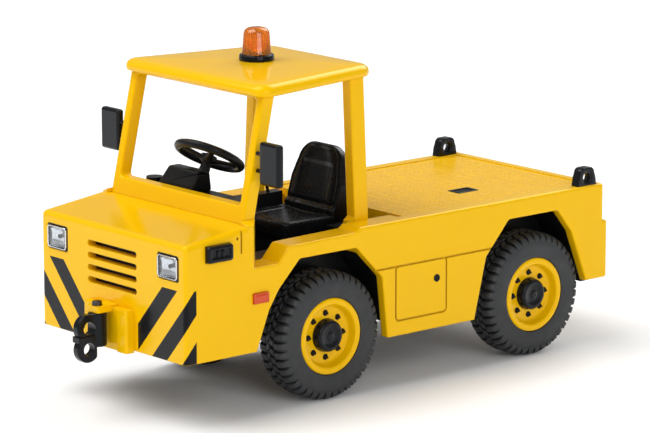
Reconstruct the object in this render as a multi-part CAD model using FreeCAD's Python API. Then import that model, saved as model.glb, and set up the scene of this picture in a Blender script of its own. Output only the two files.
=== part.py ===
"""Die-cast scale model of an airport tow tractor, one STEP file for each piece.

Millimetres, +Z up, the nose towards -Y and the vehicle's left side at +X.
The origin is on the ground, under the middle of the overall length.
Pieces are drawn with Y counted back from the front face of the nose.
export() then slides every piece by the same amount, so that the origin is central.
Heights are built up from the wheels, widths in from the sides, lengths back from the nose.
"""
import FreeCAD
import Part
import math
import os

Vec = FreeCAD.Vector
X_AXIS = Vec(1, 0, 0)
Y_AXIS = Vec(0, 1, 0)
Z_AXIS = Vec(0, 0, 1)
FAR = 60.0
OVERCUT = 1.0

# ---- driving sizes --------------------------------------------------------
BODY_LENGTH = 80.3
BODY_WIDTH = 33.0
HOOD_LENGTH = 10.6
CAB_HEIGHT = 17.5
TYRE_RADIUS = 9.3
TYRE_WIDTH = 5.6
AXLE_RADIUS = 1.0

# ---- clearances and wall thicknesses --------------------------------------
GAP = 0.05
SKIN = 1.4
TOP_SKIN = 1.5
DECK_SKIN = 2.4
TRAY_WALL = 0.7
PIN_PLAY = 0.05
AXLE_PLAY = 0.05
AXLE_FIT = 0.02
WHEEL_END_PLAY = 0.1
HUB_GAP = 0.3
EYE_GAP = 0.15

# ---- rounded edges and engraved lines -------------------------------------
CORNER_ROUND = 0.6
HOOD_ROUND = 0.8
DECK_ROUND = 0.45
OPENING_ROUND = 0.3
ARCH_CORNER = 0.9
DOOR_CORNER = 0.5
SLIT_WIDTH = 0.28
SLIT_DEPTH = 0.3
PANEL_CORNER = 0.7
HINGE_DOT = 0.2

# ---- heights of the body, counted from the axles and from the arches ------
ARCH_CLEARANCE = 3.0
DECK_OVER_ARCH = 2.9
NOSE_RISE = 0.2
SKIRT_DROP = 1.7
TAIL_RISE = 0.7
BUMPER_HEIGHT = 8.8
BUMPER_STEP = 0.9
STEP_DROP = 3.0
SILL_DROP = 0.6
SHELF_DROP = 1.3
FLOOR_DROP = 9.5
HOOD_STEP = 3.0
HOOD_FALL = 1.3
COWL_HEIGHT = 2.4
BULKHEAD_DROP = 12.5

AXLE_Z = TYRE_RADIUS
ARCH_TOP = AXLE_Z + TYRE_RADIUS + ARCH_CLEARANCE
DECK_TOP = ARCH_TOP + DECK_OVER_ARCH
NOSE_BOTTOM = AXLE_Z + NOSE_RISE
SKIRT_BOTTOM = AXLE_Z - SKIRT_DROP
TAIL_BOTTOM = AXLE_Z + TAIL_RISE
BUMPER_TOP = TAIL_BOTTOM + BUMPER_HEIGHT
STEP_TOP = DECK_TOP - STEP_DROP
SILL_TOP = DECK_TOP - SILL_DROP
SHELF_TOP = DECK_TOP - SHELF_DROP
FLOOR_TOP = DECK_TOP - FLOOR_DROP
HOOD_REAR_TOP = DECK_TOP + HOOD_STEP
HOOD_FRONT_TOP = HOOD_REAR_TOP - HOOD_FALL
SCREEN_SILL = HOOD_REAR_TOP + COWL_HEIGHT
ROOF_BOTTOM = HOOD_REAR_TOP + CAB_HEIGHT

# ---- widths, counted in from the sides ------------------------------------
SILL_WIDTH = 3.9
SCREEN_INSET = 1.5
ROOF_SIDE_OVERHANG = 0.8
ROOF_REAR_INSET = 4.7
PLATE_INSET = 2.1
TYRE_OUTSET = 0.5
HOUSE_CLEARANCE = 1.0
HOUSE_WALL = 0.8
FOOT_INSET = 2.0

HALF = BODY_WIDTH / 2
INSIDE = HALF - SKIN
WELL_HALF = HALF - SILL_WIDTH
SCREEN_HALF = HALF - SCREEN_INSET
ROOF_FRONT_HALF = SCREEN_HALF + ROOF_SIDE_OVERHANG
ROOF_REAR_HALF = HALF - ROOF_REAR_INSET
PLATE_HALF = HALF - PLATE_INSET
WHEEL_OUTER = HALF - TYRE_OUTSET
WHEEL_INNER = WHEEL_OUTER - TYRE_WIDTH
HOUSE_INNER = WHEEL_INNER - HOUSE_CLEARANCE
BASE_HALF = HOUSE_INNER - HOUSE_WALL - 4 * GAP
FOOT_HALF = HOUSE_INNER - FOOT_INSET

# ---- lengths, counted back from the nose ----------------------------------
SCREEN_SETBACK = 0.8
DOOR_SETBACK = 1.5
JAMB_CUT = 1.5
SHOULDER_AHEAD = 0.6
SHOULDER_HEIGHT = 0.6
SHOULDER_ROUND = 0.3
WELL_SETBACK = 3.0
ARCH_SETBACK = 2.2
STEP_LENGTH = 4.6
STEP_RISE_LENGTH = 2.0
STEP_RISE = 2.2
DOOR_BEHIND_AXLE = 4.1
DOOR_FLARE = 0.9
WELL_BEHIND_AXLE = 15.2
POST_BEHIND_DOOR = 5.8
ROOF_BEHIND_POST = 1.8
REAR_OVERHANG = 4.4

# Each wheel opening: which side of the axle (-1 front, 1 rear), how far beyond the tyre, and
# the height above the axle. The foot lies below the body, so that the cut runs out of it.
ARCH_RISE = TYRE_RADIUS + ARCH_CLEARANCE
FOOT_Z = -4.3
FRONT_ARCH = ((-1, 6.5, FOOT_Z), (-1, 2.5, 5.8), (-1, 0.7, 8.5), (-1, -3.1, ARCH_RISE),
              (1, -5.0, ARCH_RISE), (1, -0.1, 7.3), (1, 1.2, FOOT_Z))
REAR_ARCH = ((-1, 3.9, FOOT_Z), (-1, 1.0, 7.3), (-1, -3.5, ARCH_RISE),
             (1, -5.2, ARCH_RISE), (1, -2.3, 8.7), (1, 2.9, FOOT_Z))
FRONT_ARCH_FOOT = 4.7
FRONT_ARCH_HEEL = 0.9
REAR_ARCH_FOOT = 3.25

FRONT_AXLE = HOOD_LENGTH + ARCH_SETBACK + TYRE_RADIUS + FRONT_ARCH_FOOT
REAR_AXLE = BODY_LENGTH - REAR_OVERHANG - TYRE_RADIUS
TAIL = BODY_LENGTH + BUMPER_STEP
SCREEN_FOOT = HOOD_LENGTH + SCREEN_SETBACK
DOOR_FRONT = HOOD_LENGTH + DOOR_SETBACK
WELL_FRONT = HOOD_LENGTH + WELL_SETBACK
STEP_REAR = DOOR_FRONT + STEP_LENGTH
DOOR_REAR = FRONT_AXLE + DOOR_BEHIND_AXLE
WELL_REAR = FRONT_AXLE + WELL_BEHIND_AXLE
POST_REAR = DOOR_REAR + POST_BEHIND_DOOR
ROOF_REAR = POST_REAR + ROOF_BEHIND_POST
SKIRT_FRONT = FRONT_AXLE + TYRE_RADIUS + FRONT_ARCH_HEEL
SKIRT_REAR = REAR_AXLE - TYRE_RADIUS - REAR_ARCH_FOOT

# ---- side details ---------------------------------------------------------
POCKET = 0.5
SLIT_BEFORE_SCREEN = 1.5
SLIT_HEIGHT = 3.6
HINGE_DOT_DROP = 1.4
VENT_FRONT = 3.5
VENT_LENGTH = 4.5
VENT_DROP = 0.4
VENT_HEIGHT = 2.4
VENT_PROUD = 0.4
MARKER_BEHIND_HOOD = 1.3
MARKER_LENGTH = 2.7
MARKER_RISE = 6.9
MARKER_HEIGHT = 1.5
MARKER_PROUD = 0.3
SEAM_RISE = 8.5
LOCKER_MARGIN_FRONT = 1.5
LOCKER_MARGIN_REAR = 5.75
LOCKER_RISE = 2.2
LOCK_FROM_EDGE = 1.9
LOCK_DROP = 2.8
LOCK_RADIUS = 0.55
LOCK_PROUD = 0.15
TAIL_LAMP_INSET = 3.5
TAIL_LAMP_DROP = 2.9
TAIL_LAMP_WIDTH = 2.6
TAIL_LAMP_HEIGHT = 1.8
TAIL_LAMP_PROUD = 0.3
BLOCK_EDGE = 0.18

# ---- front details --------------------------------------------------------
LAMP_INSET = 3.85
LAMP_DROP = 3.4
LAMP_HALF_WIDTH = 2.4
LAMP_HALF_HEIGHT = 1.85
LAMP_POCKET = 1.2
LAMP_CORNER = 0.4
LAMP_RECESS = 0.1
LENS_BORDER = 0.45
LENS_PROUD = 0.15
LENS_DEPTH = 0.95
SLOT_COUNT = 4
SLOT_DROP = 2.5
SLOT_PITCH = 1.75
SLOT_HEIGHT = 0.9
SLOT_HALF = 5.6
SLOT_ROUND = 0.44
BACKING_THICKNESS = 0.6
BACKING_MARGIN = 0.8

# ---- deck -----------------------------------------------------------------
PLATE_SKIN = 1.0
PLATE_DROP = 0.15
PLATE_REAR_MARGIN = 1.7
LATCH_X = 6.3
LATCH_BEHIND_WELL = 18.9
LATCH_WIDTH = 2.6
LATCH_LENGTH = 4.0
LATCH_DEPTH = 0.5
LUG_INSET = 0.3
LUG_THICKNESS = 1.5
LUG_FROM_TAIL = 3.3
LUG_EYE_HEIGHT = 1.2
LUG_HOLE = 0.6
LUG_FOOT_HALF = 2.1
LUG_FOOT_SINK = 1.0
LUG_TOP_HALF = 1.5
LUG_HEIGHT = 2.75
LUG_CORNER = 0.9

# ---- windscreen frame, posts and roof -------------------------------------
SCREEN_LEAN = 0.22
SCREEN_DEPTH = 2.1
SCREEN_TAPER = 0.1
SCREEN_CORNER = 0.7
PILLAR_WIDTH = 1.45
PILLAR_ROUND = 0.3
HEADER = 0.4
POST_WIDTH = 1.9
POST_DEPTH = 2.6
POST_LEAN = 1.1
POST_ROUND = 0.25
POST_FOOT_LENGTH = 0.8
ROOF_THICKNESS = 2.2
ROOF_OVERHANG = 1.0
ROOF_CORNER = 1.7
ROOF_ROUND = 0.9
ROOF_UNDER_ROUND = 0.3
BEACON_BASE_RADIUS = 2.55
BEACON_BASE_HEIGHT = 0.85
BEACON_COLLAR_STEP = 0.35
BEACON_LENS_RADIUS = 2.1
BEACON_LENS_TAPER = 0.25
BEACON_LENS_HEIGHT = 3.8
BEACON_LENS_ROUND = 0.7
MIRROR_OUTSET = 0.9
MIRROR_WIDTH = 4.2
MIRROR_SETBACK = 2.1
MIRROR_DEPTH = 1.2
MIRROR_RISE = 5.5
MIRROR_HEIGHT = 6.1
MIRROR_ROUND = 0.45
MIRROR_ARM_RADIUS = 0.3
MIRROR_ARM_PLACES = (0.3, 0.7)

# ---- cab inside -----------------------------------------------------------
TUB_STEP_DROP = 0.3
DASH_RISE = 1.7
DASH_DEPTH = 3.9
DASH_LEFT = 9.7
DASH_SKIRT = 2.5
KNOB_X = -9.8
KNOB_RADIUS = 1.2
KNOB_HEIGHT = 0.9
KNOB_FROM_SCREEN = 1.4
DRIVER_X = 1.0
BOX_FOOT_LEFT = -0.6
BOX_SHOULDER_LEFT = 0.3
BOX_TOP_LEFT = 0.3
BOX_FOOT_RIGHT = -8.9
BOX_TOP_RIGHT = -6.7
BOX_HEIGHT = 3.25
BOX_SHOULDER = 2.9
BOX_DEPTH = 2.0
SEAT_X = 0.3
SEAT_WIDTH = 11.0
SEAT_BEFORE_DOOR_REAR = 4.15
SEAT_BASE_INSET = 0.6
CUSHION_LENGTH = 9.0
CUSHION_THICKNESS = 2.3
CUSHION_ROUND = 0.45
BACK_THICKNESS = 3.2
BACK_HEIGHT = 9.65
BACK_LEAN = 2.8
BACK_REAR_LEAN = 1.0
BACK_SHOULDER = 4.6
BACK_TOP_HALF = 4.1
BACK_CORNER = 2.4
BACK_SINK = 5.0
BACK_ROUND = 0.3
WHEEL_BEHIND_SCREEN = 5.4
WHEEL_OVER_DASH = 5.3
WHEEL_RADIUS = 5.3
WHEEL_RIM = 0.62
WHEEL_TILT = 30.3
WHEEL_ROLL = 5.0
WHEEL_HUB_LENGTH = 1.1
WHEEL_HUB_RADIUS = 0.9
WHEEL_HUB_CAP = 0.25
SPOKE_RADIUS = 0.4
SPOKE_DROP = 0.35
SPOKE_ANGLES = (45, 135, 225, 315)
COLUMN_FOOT_RADIUS = 0.85
COLUMN_TOP_RADIUS = 0.7
COLUMN_LENGTH = 1.6
CONSOLE_GAP = 0.3
CONSOLE_WIDTH = 1.6
CONSOLE_SETBACK = 0.6
CONSOLE_LENGTH = 8.4
CONSOLE_RISE = 2.0
LEVER_RADIUS = 0.25
LEVER_HEIGHT = 2.8
LEVER_LEAN = 0.7
LEVER_SINK = 0.4
LEVER_PLACES = ((-0.5, 5.0), (0.5, 6.6))

# ---- tow gear -------------------------------------------------------------
BLOCK_HALF = 4.9
BLOCK_REACH = 1.4
BLOCK_FLUTE_HALF = 2.4
BLOCK_FLUTE_DEPTH = 0.4
BLOCK_DROP = 0.3
BLOCK_HEIGHT = 6.1
BLOCK_ROUND = 0.4
LEDGE_HALF = 1.35
LEDGE_REACH = 3.6
LEDGE_RISE = 0.3
LEDGE_THICKNESS = 0.9
PIN_REACH = 2.7
PIN_RADIUS = 0.5
PIN_LENGTH = 5.8
PIN_HEAD_RADIUS = 0.72
PIN_HEAD_HEIGHT = 0.65
PIN_HEAD_ROUND = 0.25
PIN_FOOT_RADIUS = 0.8
PIN_FOOT_HEIGHT = 0.35
EYE_REACH = 4.6
EYE_RADIUS = 1.95
EYE_HOLE = 0.95
EYE_THICKNESS = 1.3
EYE_PITCH = 3.0
EYE_ROUND = 0.25
KNUCKLE_RADIUS = 1.35
COLLAR_HALF = 0.95
COLLAR_HEIGHT = 0.8
COLLAR_INSET = 0.1
HITCH_RISE = 4.4
REAR_HITCH_REACH = 4.2
HITCH_PLATE_HALF = 3.2
HITCH_PLATE_HALF_HEIGHT = 2.8
HITCH_PLATE_THICKNESS = 0.9
HITCH_JAW_HALF = 2.2
HITCH_LIP = 0.8
HITCH_JAW_GAP = 2.2
HITCH_PIN_REACH = 2.9
HITCH_PIN_RADIUS = 0.6
HITCH_PIN_HEAD = 0.35
HITCH_PIN_HEAD_HEIGHT = 0.6
HITCH_PIN_TAIL = 0.6

# ---- base, wheel housings, axles and wheels -------------------------------
BASE_RISE = 0.3
BASE_THICKNESS = 1.2
BEARING_HALF = 2.2
BEARING_WALL = 1.0
HOUSE_FRONT_MARGIN = 5.3
HOUSE_REAR_MARGIN = 1.5
REAR_HOUSE_MARGIN = 3.9
REAR_HOUSE_HEEL = 1.1
TIE_HEIGHT = 1.6
HUB_RADIUS = 1.9
AXLE_HEAD_RADIUS = 1.6
AXLE_HEAD_LENGTH = 0.5
RIM_RADIUS = 5.55
RIM_SEAT_RADIUS = 4.95
RIM_INSET = 0.1
RIM_FLANGE = 0.35
RIM_WALL = 0.5
RIM_LIP = 0.95
DISC_DEPTH = 1.35
DISC_THICKNESS = 0.8
TYRE_SHOULDER = 0.9
CAP_RADIUS = 2.4
CAP_LENGTH = 1.3
CAP_ROUND = 0.28
CAP_ROOM = 0.15

LAMP_X = HALF - LAMP_INSET
LAMP_Z = HOOD_FRONT_TOP - LAMP_DROP
SLOT_TOP = HOOD_FRONT_TOP - SLOT_DROP
SEAM_Z = AXLE_Z + SEAM_RISE
LOCKER_FRONT = SKIRT_FRONT + LOCKER_MARGIN_FRONT
LOCKER_REAR = SKIRT_REAR - LOCKER_MARGIN_REAR
PLATE_TOP = DECK_TOP - PLATE_DROP
PLATE_REAR = BODY_LENGTH - PLATE_REAR_MARGIN
DASH_TOP = HOOD_REAR_TOP + DASH_RISE
SEAT_FRONT = DOOR_REAR - SEAT_BEFORE_DOOR_REAR
CUSHION_TOP = SILL_TOP
BASE_BOTTOM = AXLE_Z + BASE_RISE
BASE_TOP = BASE_BOTTOM + BASE_THICKNESS
TUB_STEP_TOP = STEP_TOP - TUB_STEP_DROP
HOUSE_BOTTOM = BASE_TOP + GAP
HOUSE_TOP = TUB_STEP_TOP - TRAY_WALL - GAP
FRONT_HOUSE_FRONT = FRONT_AXLE - TYRE_RADIUS - HOUSE_FRONT_MARGIN
FRONT_HOUSE_REAR = FRONT_AXLE + TYRE_RADIUS + HOUSE_REAR_MARGIN
REAR_HOUSE_FRONT = REAR_AXLE - TYRE_RADIUS - REAR_HOUSE_MARGIN
REAR_HOUSE_REAR = BODY_LENGTH - SKIN - GAP
BLOCK_BOTTOM = NOSE_BOTTOM - BLOCK_DROP
BLOCK_TOP = BLOCK_BOTTOM + BLOCK_HEIGHT
LEDGE_TOP = BLOCK_TOP + LEDGE_RISE
LEDGE_BOTTOM = LEDGE_TOP - LEDGE_THICKNESS
PIN_BOTTOM = LEDGE_TOP - PIN_LENGTH
EYE_HEIGHT = LEDGE_BOTTOM - EYE_GAP - EYE_RADIUS
HITCH_Z = TAIL_BOTTOM + HITCH_RISE
LUG_OUTER = HALF - LUG_INSET
LUG_Y = BODY_LENGTH - LUG_FROM_TAIL
RIM_FACE = WHEEL_OUTER - RIM_INSET
DISC_FACE = RIM_FACE - DISC_DEPTH
HUB_END = BASE_HALF + HUB_GAP
FRONT_MOST = EYE_REACH + EYE_RADIUS
REAR_MOST = TAIL + REAR_HITCH_REACH
SLIDE = (FRONT_MOST - REAR_MOST) / 2
SIDES = {"left": 1, "right": -1}
ENDS = {"front": FRONT_AXLE, "rear": REAR_AXLE}


# ---- helpers --------------------------------------------------------------
def export(name, shape):
    """Write one piece, slid to its place in the model's own frame."""
    moved = shape.copy()
    moved.translate(Vec(0, SLIDE, 0))
    moved.removeSplitter().exportStep(os.path.join("parts", name + ".step"))


def box(x0, x1, y0, y1, z0, z1):
    """A box between two corners."""
    return Part.makeBox(x1 - x0, y1 - y0, z1 - z0, Vec(x0, y0, z0))


def rod(radius, start, end):
    """A round bar between two points."""
    run = end - start
    return Part.makeCylinder(radius, run.Length, start, run)


def upright(radius, y, z0, z1):
    """A round bar standing in the middle plane."""
    return rod(radius, Vec(0, y, z0), Vec(0, y, z1))


def face_of(points, radius=0):
    """A flat face with every corner of its outline rounded, where a radius is given."""
    if radius == 0:
        return Part.Face(Part.makePolygon(points + points[:1]))
    corners = []
    for i, point in enumerate(points):
        before = points[i - 1] - point
        after = points[(i + 1) % len(points)] - point
        reach = radius / math.tan(before.getAngle(after) / 2)
        start = point + before.normalize() * reach
        end = point + after.normalize() * reach
        bisector = (before + after).normalize()
        away = math.hypot(radius, reach) - radius
        corners.append((start, point + bisector * away, end))
    edges = []
    for i, (start, middle, end) in enumerate(corners):
        edges.append(Part.LineSegment(corners[i - 1][2], start).toShape())
        edges.append(Part.Arc(start, middle, end).toShape())
    return Part.Face(Part.Wire(edges))


def prism_x(outline, x0, x1, radius=0):
    """A side-view outline of (y, z) points, stretched from x0 to x1."""
    face = face_of([Vec(x0, y, z) for y, z in outline], radius)
    return face.extrude(Vec(x1 - x0, 0, 0))


def prism_y(outline, y0, y1, radius=0):
    """A front-view outline of (x, z) points, stretched from y0 to y1."""
    face = face_of([Vec(x, y0, z) for x, z in outline], radius)
    return face.extrude(Vec(0, y1 - y0, 0))


def prism_z(outline, z0, z1, radius=0):
    """A plan outline of (x, y) points, stretched from z0 to z1."""
    face = face_of([Vec(x, y, z0) for x, y in outline], radius)
    return face.extrude(Vec(0, 0, z1 - z0))


def spin_x(outline, axle_y):
    """A (distance along X, radius) outline, turned about an axle."""
    face = face_of([Vec(x, axle_y, AXLE_Z + r) for x, r in outline])
    return face.revolve(Vec(0, axle_y, AXLE_Z), X_AXIS, 360)


def edges_in(shape, test):
    """The edges whose every vertex passes the test."""
    return [e for e in shape.Edges if all(test(v.Point) for v in e.Vertexes)]


def along(shape, axis, test=lambda p: True):
    """The straight edges that run along an axis and whose middle passes the test."""
    found = []
    for edge in shape.Edges:
        if len(edge.Vertexes) != 2:
            continue
        run = edge.Vertexes[1].Point - edge.Vertexes[0].Point
        if run.Length < 1e-6 or abs(abs(run.normalize().dot(axis)) - 1) > 1e-6:
            continue
        if test(edge.CenterOfMass):
            found.append(edge)
    return found


def rounded_box(x0, x1, y0, y1, z0, z1, radius, axis):
    """A box whose four edges along one axis are rounded."""
    body = box(x0, x1, y0, y1, z0, z1)
    return body.makeFillet(radius, along(body, axis))


def both_sides(shape):
    """A shape drawn for the left side, with its mirror image."""
    return [shape, shape.mirror(Vec(0, 0, 0), X_AXIS)]


def sided(shape, sign):
    """A piece drawn for the left side, kept or mirrored."""
    return shape if sign > 0 else shape.mirror(Vec(0, 0, 0), X_AXIS)


# ---- body casting ---------------------------------------------------------
def arch_outline(axle_y, shape):
    """Side view of a wheel opening, from its front foot round to its rear foot."""
    return [(axle_y + side * (TYRE_RADIUS + reach), AXLE_Z + rise) for side, reach, rise in shape]


def nose_block():
    """Outer shape of the nose, up to the cab."""
    side = [(0, NOSE_BOTTOM), (0, HOOD_FRONT_TOP), (HOOD_LENGTH, HOOD_REAR_TOP),
            (WELL_FRONT, HOOD_REAR_TOP), (WELL_FRONT, NOSE_BOTTOM)]
    block = prism_x(side, -HALF, HALF)
    block = block.makeFillet(CORNER_ROUND, along(block, Z_AXIS, lambda p: p.y < SKIN))
    rim = [e for e in block.Edges if e.BoundBox.ZMin > HOOD_FRONT_TOP - GAP
           and (abs(e.CenterOfMass.x) > HALF - CORNER_ROUND or e.CenterOfMass.y < GAP)]
    return block.makeFillet(HOOD_ROUND, rim)


def deck_block():
    """Outer shape of the body behind the nose, lower between the wheels."""
    side = [(WELL_FRONT, NOSE_BOTTOM), (WELL_FRONT, DECK_TOP), (BODY_LENGTH, DECK_TOP),
            (BODY_LENGTH, TAIL_BOTTOM), (REAR_AXLE, TAIL_BOTTOM), (REAR_AXLE, SKIRT_BOTTOM),
            (FRONT_AXLE, SKIRT_BOTTOM), (FRONT_AXLE, NOSE_BOTTOM)]
    block = prism_x(side, -HALF, HALF)
    tail_edges = along(block, Z_AXIS, lambda p: p.y > BODY_LENGTH - SKIN)
    block = block.makeFillet(CORNER_ROUND, tail_edges)
    rim = [e for e in block.Edges
           if e.BoundBox.ZMin > DECK_TOP - GAP and e.CenterOfMass.y > WELL_FRONT + GAP]
    return block.makeFillet(DECK_ROUND, rim)


def bumper_block():
    """The lower part of the tail, a step further back than the deck."""
    block = box(-HALF, HALF, REAR_AXLE, TAIL, TAIL_BOTTOM, BUMPER_TOP)
    block = block.makeFillet(CORNER_ROUND, along(block, Z_AXIS, lambda p: p.y > TAIL - SKIN))
    lip = [e for e in block.Edges
           if e.BoundBox.ZMin > BUMPER_TOP - GAP and e.CenterOfMass.y > TAIL - BUMPER_STEP]
    return block.makeFillet(DECK_ROUND, lip)


def door_outline():
    """Side view of the low door opening, above its step and its sill."""
    above = HOOD_REAR_TOP + CAB_HEIGHT / 2
    return [(DOOR_FRONT, above), (DOOR_FRONT, STEP_TOP), (STEP_REAR, STEP_TOP),
            (STEP_REAR + STEP_RISE_LENGTH, STEP_TOP + STEP_RISE), (DOOR_REAR, SILL_TOP),
            (DOOR_REAR + DOOR_FLARE, DECK_TOP), (DOOR_REAR + DOOR_FLARE, above)]


def door_jamb():
    """Left door jamb: it slopes back and inwards above the step, towards the pillar's rear edge."""
    ahead = SCREEN_FOOT - SHOULDER_AHEAD
    reach = WELL_FRONT - GAP
    plan = [(WELL_HALF, ahead), (HALF, ahead), (HALF, DOOR_FRONT), (HALF - JAMB_CUT, reach),
            (WELL_HALF, reach)]
    return prism_z(plan, STEP_TOP, HOOD_REAR_TOP - HOOD_ROUND)


def pillar_shoulder():
    """Left shoulder beside the foot of the windscreen pillar, sloping out to the body side."""
    inner = SCREEN_HALF + GAP
    ahead = SCREEN_FOOT - SHOULDER_AHEAD
    plan = [(inner, ahead), (HALF, ahead + SHOULDER_ROUND), (HALF, DOOR_FRONT),
            (HALF - JAMB_CUT, WELL_FRONT - GAP), (inner, WELL_FRONT - GAP)]
    slope = [(inner, STEP_TOP), (HALF, STEP_TOP), (HALF, HOOD_REAR_TOP),
             (inner, HOOD_REAR_TOP + SHOULDER_HEIGHT)]
    return prism_z(plan, STEP_TOP, FAR).common(prism_y(slope, 0, WELL_FRONT))


def hollows():
    """The rooms inside the casting: under the hood, above the base, under the deck, the cab well."""
    hood = [(SKIN, 0), (SKIN, HOOD_FRONT_TOP - TOP_SKIN), (HOOD_LENGTH - SKIN, HOOD_REAR_TOP - TOP_SKIN),
            (HOOD_LENGTH - SKIN, 0)]
    under_top = ARCH_TOP - HOUSE_CLEARANCE
    return [prism_x(hood, -INSIDE, INSIDE),
            box(-INSIDE, INSIDE, HOOD_LENGTH, BODY_LENGTH - SKIN, 0, under_top),
            box(-INSIDE, INSIDE, SKIN, HOOD_LENGTH + SKIN, 0, DECK_TOP - BULKHEAD_DROP),
            box(-INSIDE, INSIDE, WELL_REAR + SKIN, BODY_LENGTH - SKIN, 0, DECK_TOP - DECK_SKIN)]


def body_casting():
    """The yellow shell: nose, sills, skirts, deck frame and tail in one casting."""
    solid = nose_block().fuse([deck_block(), bumper_block()]).cut(hollows())
    rear_wall = box(-INSIDE, INSIDE, WELL_REAR, WELL_REAR + SKIN, HOUSE_BOTTOM, DECK_TOP - PLATE_SKIN)
    solid = solid.fuse(rear_wall)
    solid = solid.cut(box(-WELL_HALF, WELL_HALF, WELL_FRONT, WELL_REAR, 0, FAR))
    for axle_y, shape in ((FRONT_AXLE, FRONT_ARCH), (REAR_AXLE, REAR_ARCH)):
        opening = prism_x(arch_outline(axle_y, shape), HOUSE_INNER - HOUSE_WALL - GAP, FAR, ARCH_CORNER)
        solid = solid.cut(both_sides(opening))
    door = prism_x(door_outline(), WELL_HALF, FAR, DOOR_CORNER)
    solid = solid.cut(both_sides(door))
    solid = solid.fuse(both_sides(door_jamb()) + both_sides(pillar_shoulder())).removeSplitter()
    solid = solid.makeFillet(OPENING_ROUND, opening_edges(solid))
    solid = solid.cut(box(-PLATE_HALF, PLATE_HALF, WELL_REAR - SKIN, PLATE_REAR, DECK_TOP - PLATE_SKIN, FAR))
    solid = solid.cut([grille_slot(row) for row in range(SLOT_COUNT)])
    for cutter in (headlight_block(0, -OVERCUT, LAMP_POCKET), side_lamp(True),
                   side_marker(True), locker_lock(True), tail_lamp(True), side_slit(), hinge_dot(),
                   seam_groove(), locker_groove()):
        solid = solid.cut(both_sides(cutter))
    return solid


def opening_edges(solid):
    """The outer edges of the wheel openings and of the doors, on both flat sides."""
    found = []
    for edge in solid.Edges:
        room = edge.BoundBox
        flat = abs(abs(edge.CenterOfMass.x) - HALF) < 1e-4 and room.XLength < 1e-4
        behind_hood = room.YMin > DOOR_FRONT - GAP and room.ZMin > SKIRT_BOTTOM + GAP
        below_deck = room.ZMax < DECK_TOP - DECK_ROUND + GAP
        level_top = room.ZLength < 1e-4 and room.ZMin > SILL_TOP + GAP
        if flat and behind_hood and below_deck and not level_top and room.YMax < REAR_AXLE + 2 * TYRE_RADIUS:
            found.append(edge)
    return found


def grille_slot(row):
    """One round-ended slot through the front wall."""
    z = SLOT_TOP - row * SLOT_PITCH
    return rounded_box(-SLOT_HALF, SLOT_HALF, -OVERCUT, SKIN + OVERCUT, z - SLOT_HEIGHT, z, SLOT_ROUND,
                       Y_AXIS)


def side_block(cutter, proud, y0, y1, z0, z1):
    """A block let into the left side: the pocket for it, or the block, standing proud by a given amount."""
    if cutter:
        return box(HALF - POCKET, HALF + OVERCUT, y0, y1, z0, z1)
    block = box(HALF - POCKET, HALF + proud, y0, y1, z0, z1)
    return block.makeFillet(BLOCK_EDGE, edges_in(block, lambda p: p.x > HALF))


def side_lamp(cutter=False):
    """The black lamp block on the left side of the nose, or its pocket."""
    top = HOOD_FRONT_TOP - VENT_DROP
    return side_block(cutter, VENT_PROUD, VENT_FRONT, VENT_FRONT + VENT_LENGTH, top - VENT_HEIGHT, top)


def side_marker(cutter=False):
    """The orange marker ahead of the left front wheel, or its pocket."""
    front = HOOD_LENGTH + MARKER_BEHIND_HOOD
    bottom = NOSE_BOTTOM + MARKER_RISE
    return side_block(cutter, MARKER_PROUD, front, front + MARKER_LENGTH, bottom, bottom + MARKER_HEIGHT)


def locker_lock(cutter=False):
    """The round lock of the left locker, or its pocket."""
    start = Vec(HALF - POCKET, LOCKER_REAR - LOCK_FROM_EDGE, SEAM_Z - LOCK_DROP)
    return rod(LOCK_RADIUS, start, start + Vec(POCKET + (OVERCUT if cutter else LOCK_PROUD), 0, 0))


def tail_lamp(cutter=False):
    """The left tail lamp in the upper tail face, or its pocket."""
    x = HALF - TAIL_LAMP_INSET
    z = DECK_TOP - TAIL_LAMP_DROP
    rear = BODY_LENGTH + (OVERCUT if cutter else TAIL_LAMP_PROUD)
    return box(x - TAIL_LAMP_WIDTH / 2, x + TAIL_LAMP_WIDTH / 2, BODY_LENGTH - POCKET, rear,
               z - TAIL_LAMP_HEIGHT / 2, z + TAIL_LAMP_HEIGHT / 2)


def side_slit():
    """The engraved upright line behind the hood, left side."""
    y = SCREEN_FOOT - SLIT_BEFORE_SCREEN
    return box(HALF - SLIT_DEPTH, HALF + 1, y - SLIT_WIDTH / 2, y + SLIT_WIDTH / 2,
               HOOD_REAR_TOP - SLIT_HEIGHT, FAR)


def hinge_dot():
    """The small drilled dot ahead of the upright line."""
    start = Vec(HALF - SLIT_DEPTH, HOOD_LENGTH - SKIN, HOOD_REAR_TOP - HINGE_DOT_DROP)
    return rod(HINGE_DOT, start, start + Vec(OVERCUT, 0, 0))


def seam_groove():
    """The engraved level line between the wheel openings, left side."""
    return box(HALF - SLIT_DEPTH, HALF + 1, FRONT_AXLE, REAR_AXLE, SEAM_Z - SLIT_WIDTH / 2,
               SEAM_Z + SLIT_WIDTH / 2)


def locker_groove():
    """The engraved outline of the left locker lid, under the level line."""
    h = SLIT_WIDTH / 2
    low = SKIRT_BOTTOM + LOCKER_RISE
    lid = rounded_box(HALF - SLIT_DEPTH, HALF + OVERCUT, LOCKER_FRONT - h, LOCKER_REAR + h, low - h,
                      SEAM_Z + h, PANEL_CORNER, X_AXIS)
    inner = rounded_box(0, FAR, LOCKER_FRONT + h, LOCKER_REAR - h, low + h, SEAM_Z - h,
                        PANEL_CORNER - SLIT_WIDTH, X_AXIS)
    return lid.cut(inner)


def deck_plate():
    """The tread plate that lies in the deck frame, cut out for its latch."""
    half = PLATE_HALF - GAP
    plate = box(-half, half, WELL_REAR, PLATE_REAR - GAP, DECK_TOP - PLATE_SKIN, PLATE_TOP)
    return plate.cut(deck_latch())


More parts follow.
